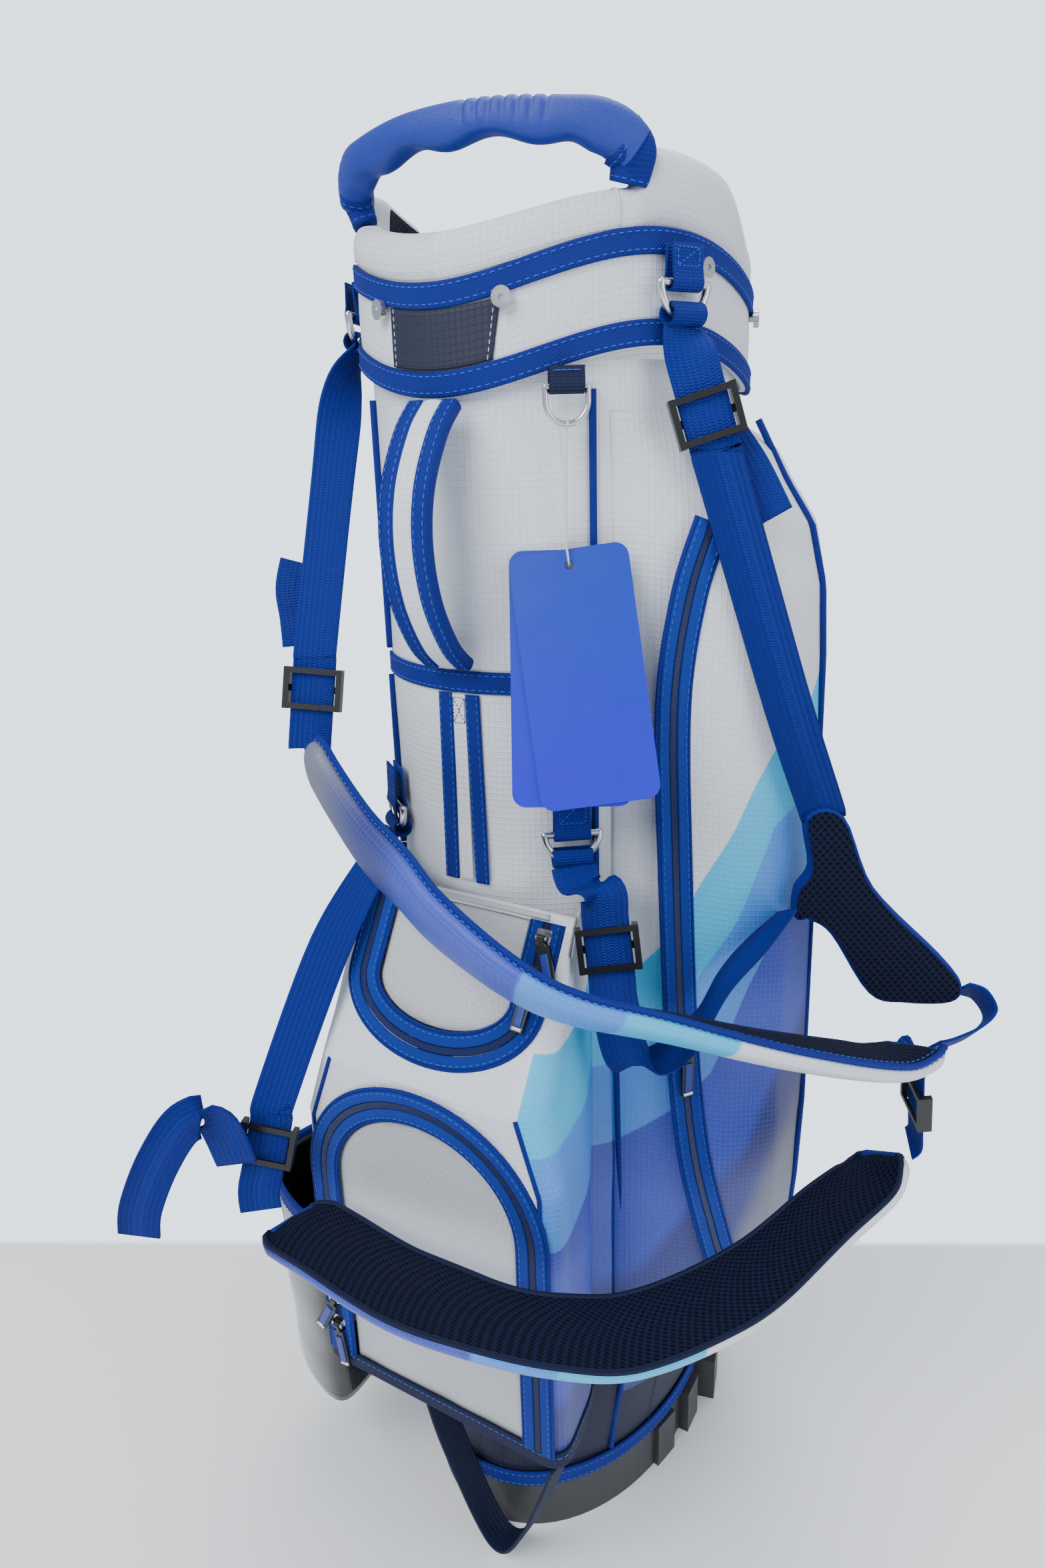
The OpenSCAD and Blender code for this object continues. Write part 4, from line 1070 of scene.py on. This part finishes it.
def padded_strap(name, route, across, face, fields_at, bound):
    """Mesh on one face; the printed cloth bulges round the other."""
    p = spline(route, 9)
    across = spline(across, 9)
    u = seq(0, 1, len(p))
    end = np.sqrt(np.clip(np.minimum(u, 1 - u) / 0.045, 0, 1))
    xs = seq(-1, 1, 15)
    top = [(x * 23.0, face * (4.2 + 1.6 * (1 - x * x))) for x in xs]
    turn = seq(0, math.pi, 17)
    under = [(26.5 * math.cos(a), face * (3.2 - 11.5 * math.sin(a) ** 0.7)) for a in turn]
    outline = np.array(top + under)
    outline = outline[None] * np.stack([0.62 + 0.38 * end, 0.55 + 0.45 * end], -1)[:, None]
    rows, s, n = sweep_points(p, across, outline)
    pick = [0] * 14 + [1] * 18
    fields = {k: np.broadcast_to(v[:, None], rows.shape[:2]) for k, v in fields_at(u).items()}
    obj = grid(f"{name}_pad", rows, ["mesh", "print"], "pad_cloth", wrap=True, caps=True, pick=pick,
               fields=fields, node=name)
    shrink = (0.62 + 0.38 * end)[:, None]
    lift = n * face * (3.9 * (0.55 + 0.45 * end))[:, None]
    for k, side in enumerate((-1, 1)):
        edge = p + s * side * 24.2 * shrink + lift
        wide = bound and side > 0
        tape, t = (9.0, "royal") if wide else (3.4, "navy_webbing")
        outline = ring_profile(tape / 2, 1.5)
        turn_in = unit(s * 0.8 + n * face * 0.6) if wide else unit(s * 0.8 - n * face * 0.6)
        bind, _, _ = sweep_points(edge, turn_in, outline)
        grid(f"{name}_binding_{k}", bind, [t], "royal_tape", wrap=True, caps=True)
        if wide:
            out = unit(s * 0.6 + n * face * 0.8)
            for j, at in enumerate((-2.6, 2.6)):
                line = edge + unit(s * 0.8 - n * face * 0.6) * at + out * 1.5
                stitches(f"{name}_stitch_{k}_{j}", line, out)
    for k, (at, back) in enumerate(((0, 1), (len(p) - 1, -1))):
        cap = p[at] + (p[at + back * 2] - p[at]) * 0.5
        line = [cap - s[at] * 15, cap, cap + s[at] * 15]
        ribbon(f"{name}_end_{k}", line, unit(p[at + back] - p[at]), 9, 9.0, "webbing", "royal_tape", 4)


def straps():
    def print_a(u):
        return {"cyan": (0.74 - u) * 300, "sky": (0.64 - u) * 300, "peri": (0.52 - u) * 300,
                "indigo": (0.30 - u) * 300, "grey": (0.14 - u) * 300}

    def print_b(u):
        return {"cyan": (u - 0.44) * 300, "sky": (u - 0.60) * 300, "peri": (u - 0.68) * 300,
                "indigo": (u - 0.92) * 300, "grey": -50 + 0 * u}

    lean = (0.85, 0.85, 0.85, 0.82, 0.75, 0.65, 0.55, 0.45, 0.38, 0.34, 0.34)
    across = [math.sqrt(1 - k * k) * TOWARD + k * UP for k in lean]
    padded_strap("strap_a", STRAP_A, across, -1, print_a, True)
    padded_strap("strap_b", STRAP_B, [0.99 * TOWARD + 0.1 * UP] * 11, 1, print_b, False)


PAD_OUTLINE = [(134, 506), (152, 506), (172, 462), (214, 418), (226, 402), (222, 392), (196, 392), (176, 398),
               (152, 436), (138, 446), (131, 447), (131, 462), (138, 476)]


def back_pad():
    """The pad is drawn in rings that shrink towards its own middle line, so that its faces are crowned."""
    loop = closed_spline([(x, y, 0) for x, y in PAD_OUTLINE], 5)[:, :2]
    at = lambda q, d: 94 * TOWARD + d * TOWARD + q[:, :1] * LATERAL + q[:, 1:2] * UP
    for k, side in enumerate((-1, 1)):
        bm = bmesh.new()
        verts = [bm.verts.new(v * MM) for v in at(loop, side * 4.6)]
        face = bm.faces.new(verts)
        bmesh.ops.inset_region(bm, faces=[face], thickness=0.004, depth=0.0)
        inner = max(bm.faces, key=lambda f: f.calc_area())
        for v in inner.verts:
            v.co += Vector(TOWARD * side * 1.1 * MM)
        bmesh.ops.triangulate(bm, faces=[inner])
        layer = bm.loops.layers.uv.new("uv")
        for f in bm.faces:
            f.smooth = True
            for c in f.loops:
                c[layer].uv = (c.vert.co.dot(Vector(LATERAL)), c.vert.co.z)
        mesh = bpy.data.meshes.new(f"back_pad_face_{k}")
        bm.to_mesh(mesh)
        bm.free()
        mesh.materials.append(M["mesh"])
        obj = new_object(f"back_pad_face_{k}", mesh)
        if k == 0:
            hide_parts("back_pad")
    rim_line = at(loop, 0.0)
    rows, _, _ = sweep_points(np.concatenate([rim_line, rim_line[:1]]), TOWARD, ring_profile(5.4, 1.7))
    grid("back_pad_binding", rows[:-1], ["royal"], "royal_tape", wrap=True, loop=True)
    out = unit(rim_line - rim_line.mean(0))
    stitches("back_pad_stitch", rim_line - out * 2.6 + TOWARD * 5.2, TOWARD)


def through(seat):
    c, d = np.array(seat[0], float), unit(seat[1])
    return [c + 30 * d, c + 15 * d, c - 15 * d, c - 30 * d]


LOCK_A = ((-96, -124.5, 577), (-1, 15, 60))
LOCK_B = ((-90, -206, 323), (4, 14, 46))
GLIDE_UP = ((113.5, -58.5, 718), (-18, -3, 59))
GLIDE_LOW = ((90, -120, 454), (-4, 3, 20))
BUCKLE = ((231.6, 2.4, 334), (-1, -3, 24))


def ring_sleeve(name, b, off, z):
    c, o = on_tube(b, off, z - 15 + 1.5), out_of(b)
    route = np.array([c + 5.0 * (o * math.cos(a) + UP * math.sin(a)) for a in seq(-4.4, 1.2, 30)])
    ribbon(name, route, along(b), 22, 1.5, "webbing", "webbing", n=1)


def webbing(name, route, across, width=25, node=None):
    ribbon(name, route, across, width, 1.8, "webbing", "webbing", 8, node=node)


def webbings():
    lat = list(LATERAL)
    ring_sleeve("ring_sleeve_upper_right", *UPPER_BAR)
    route = [(99.8, -57, 758.4), *through(GLIDE_UP), (154, -39, 576), (169, -17, 514), (170, -14, 508)]
    webbing("upper_web_right", route, [along(60.0)] + [lat] * 7, node="webbing_upper")
    webbing("upper_web_right_tail", [(117, -44, 708), (128, -42, 692), (140, -37, 668)], LATERAL)
    ring_sleeve("ring_sleeve_upper_left", -UPPER_BAR[0], *UPPER_BAR[1:])
    route = [(-99.8, -57.2, 758.4), (-102, -70, 738), (-98, -88, 698), *through(LOCK_A), (-95, -133, 544)]
    webbing("upper_web_left", route, [-along(-60.0), (0.3, 0.95, 0)] + [lat] * 6)
    tail = [(-117, -110, 598), (-120, -107, 614), (-122, -106, 630), (-119, -103, 646)]
    webbing("upper_web_left_tail", tail, LATERAL, 20)
    ring_sleeve("ring_sleeve_lower_left", -LOWER_BAR[0], *LOWER_BAR[1:])
    route = [(-61.8, -104.7, 489.2), (-66, -114, 476), (-71, -158, 434), *through(LOCK_B), (-90, -217, 284)]
    webbing("lower_web_left", route, [along(-30.0), (0.98, -0.1, 0)] + [lat] * 6, node="webbing_lower")
    tail = [(-98, -223, 318), (-101, -232, 352), (-114, -242, 352), (-126, -254, 330), (-136, -263, 301),
            (-139, -265, 282)]
    webbing("lower_web_left_tail", tail, LATERAL)
    ring_sleeve("ring_sleeve_lower_right", *LOWER_BAR)
    route = [(61.8, -104.7, 489.2), (71, -114, 484), *through(GLIDE_LOW), (104, -122, 391), (118, -104, 388),
             (129, -86, 402), (137, -68, 422), (147, -50, 437), (158, -29, 452)]
    turn = [lat] * 7 + [0.5 * LATERAL + 0.8 * TOWARD] + [TOWARD] * 3 + [0.9 * TOWARD + 0.3 * UP]
    webbing("lower_web_right", route, turn)
    link = [(246, 31, 396), (256, 35, 392), (263, 32, 382), (257, 20, 376), (246, 4, 374), (238, -5, 374)]
    webbing("link_web_back", link, 0.7 * TOWARD + 0.7 * UP, 22, node="webbing_links")
    webbing("link_web_low", [(230, -3, 366), *through(BUCKLE), (230, 6.3, 298)], TOWARD)


# ---------------------------------------------------------------- pulls, hardware and kept nodes


def local(origin, x, y, q):
    x, y = unit(x), unit(y)
    return np.asarray(origin, float) + q[0] * x + q[1] * y + q[2] * np.cross(x, y)


def pull_inlays():
    upper = lambda v: (on_flap(FLAP_W, v, 0.0), EAST, SLOPE)
    lower = lambda z: ((-ARCH_W, -POCKET_Y, z), EAST, UP)
    seat = on_pocket(58.5, 372, 5.4)
    for name, (o, x, y), splay in (("upper_pull_a", upper(14), 26), ("upper_pull_b", upper(34), -3),
                                   ("lower_pull_a", lower(196), -27), ("lower_pull_b", lower(176), 8),
                                   ("garment_pull", (seat, (0.6, 0.8, 0), UP), 0)):
        a = math.radians(splay)
        at = lambda v, h: local(o, x, y, (v * math.sin(a), -v * math.cos(a), h))
        wide = math.cos(a) * unit(x) + math.sin(a) * unit(y)
        face = [at(9, 5.6), at(18, 5.75), at(28, 5.6)]
        ribbon(f"{name}_inlay", face, wide, 4.6, 1.0, "inlay", "pull", body=name)
        end = [at(28.6, 5.5), at(30.4, 5.5)]
        ribbon(f"{name}_tip", end, wide, 6.4, 1.2, "chrome", "slider_metal", 3, name)


def kept_nodes():
    pairs = lambda kind: [f"{row}_{kind}_{x}" for row in ("upper", "lower") for x in "ab"]
    rings = [f"{row}_ring_{side}" for row in ("upper", "lower") for _, side in SIDES]
    locks = ["lock_upper_left", "lock_lower_left", "glide_upper_right", "glide_lower_right", "pad_buckles"]
    finish = {
        "base": (["base_boot"], 1.6), "metal": (rings + ["towel_ring", "collar_screws"], 0.25),
        "rod": (["stay_rods"], 0.4), "divider": (["divider_frame"], 0.8), "tag": (["hang_tag"], 0.1),
        "chrome": (pairs("slider") + ["garment_slider"], 0.5),
        "lock": (locks + pairs("pull") + ["garment_pull"], 0.6),
    }
    for mat, (names, edge) in finish.items():
        for name in names:
            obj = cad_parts[name]
            for slot in obj.material_slots:
                slot.material = M[mat]
            m = obj.modifiers.new("edge", "BEVEL")
            m.width, m.segments, m.limit_method, m.angle_limit = edge * MM, 2, "ANGLE", math.radians(40)


def divider_sheets():
    for k, (half, across) in enumerate(((109.0, 1), (84.0, 0))):
        s, z = np.meshgrid(seq(-half, half, 24), seq(60, 719, 60))
        p = np.zeros((*s.shape, 3))
        p[..., across], p[..., 2] = s, z
        p[..., 1 - across] = 0.3 * np.sin(z * 0.02) * np.cos(s * 0.03)
        obj = grid(f"divider_sheet_{k}", p, ["liner"], "divider_cloth", node=None if k else "divider_panels")


# ---------------------------------------------------------------- floor and light


WALL, WALL_SEEN, WALL_LIGHT = (0.76, 0.87, 0.98), 2.6, 0.62


def floor_and_light():
    s = Shader("floor_surface", (0.9, 0.91, 0.93), 0.7)
    a = math.radians(AZ)
    split = s.tree.nodes.new("ShaderNodeSeparateXYZ")
    s.tree.links.new(s.node("ShaderNodeNewGeometry"), split.inputs[0])
    sideways = s.math("MULTIPLY", split.outputs[1], math.cos(a))
    depth = s.math("MULTIPLY_ADD", split.outputs[0], -math.sin(a), sideways)
    s.set("Base Color", (0.93, 0.94, 0.96, 1))
    s.bump(s.noise(40, 3), 0.0001)
    seen = s.math("MULTIPLY_ADD", s.node("ShaderNodeLightPath"), WALL_SEEN - WALL_LIGHT, WALL_LIGHT)
    wall = s.node("ShaderNodeEmission", (*WALL, 1), seen)
    blend = s.tree.nodes.new("ShaderNodeMixShader")
    s.feed(blend.inputs[0], s.band(depth, 0.135, 0.145))
    s.feed(blend.inputs[1], s.bsdf.outputs[0])
    s.feed(blend.inputs[2], wall)
    s.feed(s.out.inputs[0], blend.outputs[0])
    bpy.ops.mesh.primitive_grid_add(x_subdivisions=8, y_subdivisions=8, size=12, location=(0, 0, 0))
    floor = bpy.context.object
    floor.name = "floor"
    floor.data.materials.append(s.mat)
    world = bpy.data.worlds.new("studio")
    world.use_nodes = True
    world.node_tree.nodes["Background"].inputs[0].default_value = (*WALL, 1)
    links, sky = world.node_tree.links, world.node_tree.nodes
    path, scale = sky.new("ShaderNodeLightPath"), sky.new("ShaderNodeMath")
    scale.operation = "MULTIPLY_ADD"
    scale.inputs[1].default_value, scale.inputs[2].default_value = WALL_SEEN - WALL_LIGHT, WALL_LIGHT
    links.new(path.outputs[0], scale.inputs[0])
    links.new(scale.outputs[0], sky["Background"].inputs[1])
    bpy.context.scene.world = world
    right, ahead = np.array([math.cos(a), math.sin(a), 0]), np.array([-math.sin(a), math.cos(a), 0])
    lamps = (("key", -1.0, -1.3, 1.9, 1.3, 46), ("fill", 1.5, -1.0, 1.2, 1.5, 17),
             ("top", 0.2, 0.4, 2.3, 1.4, 26))
    for name, side, back, high, size, power in lamps:
        data = bpy.data.lights.new(name, "AREA")
        data.energy, data.size = power, size
        lamp = bpy.data.objects.new(name, data)
        bpy.context.scene.collection.objects.link(lamp)
        lamp.location = Vector(right * side + ahead * back + UP * high)
        lamp.rotation_euler = (Vector((0, 0, 0.45)) - lamp.location).to_track_quat("-Z", "Y").to_euler()


for build in (tag_cord, tube_cloth, skirt_cloth, bindings, collar_cloth, rim, collar_badge, grab_handle,
              carry_handle, stripe, front_band, pipings, tabs, ball_pocket, lower_door, upper_flap, zips,
              garment_pocket, side_pocket, drag_loop, straps, back_pad, webbings, pull_inlays, kept_nodes,
              divider_sheets, floor_and_light):
    build()
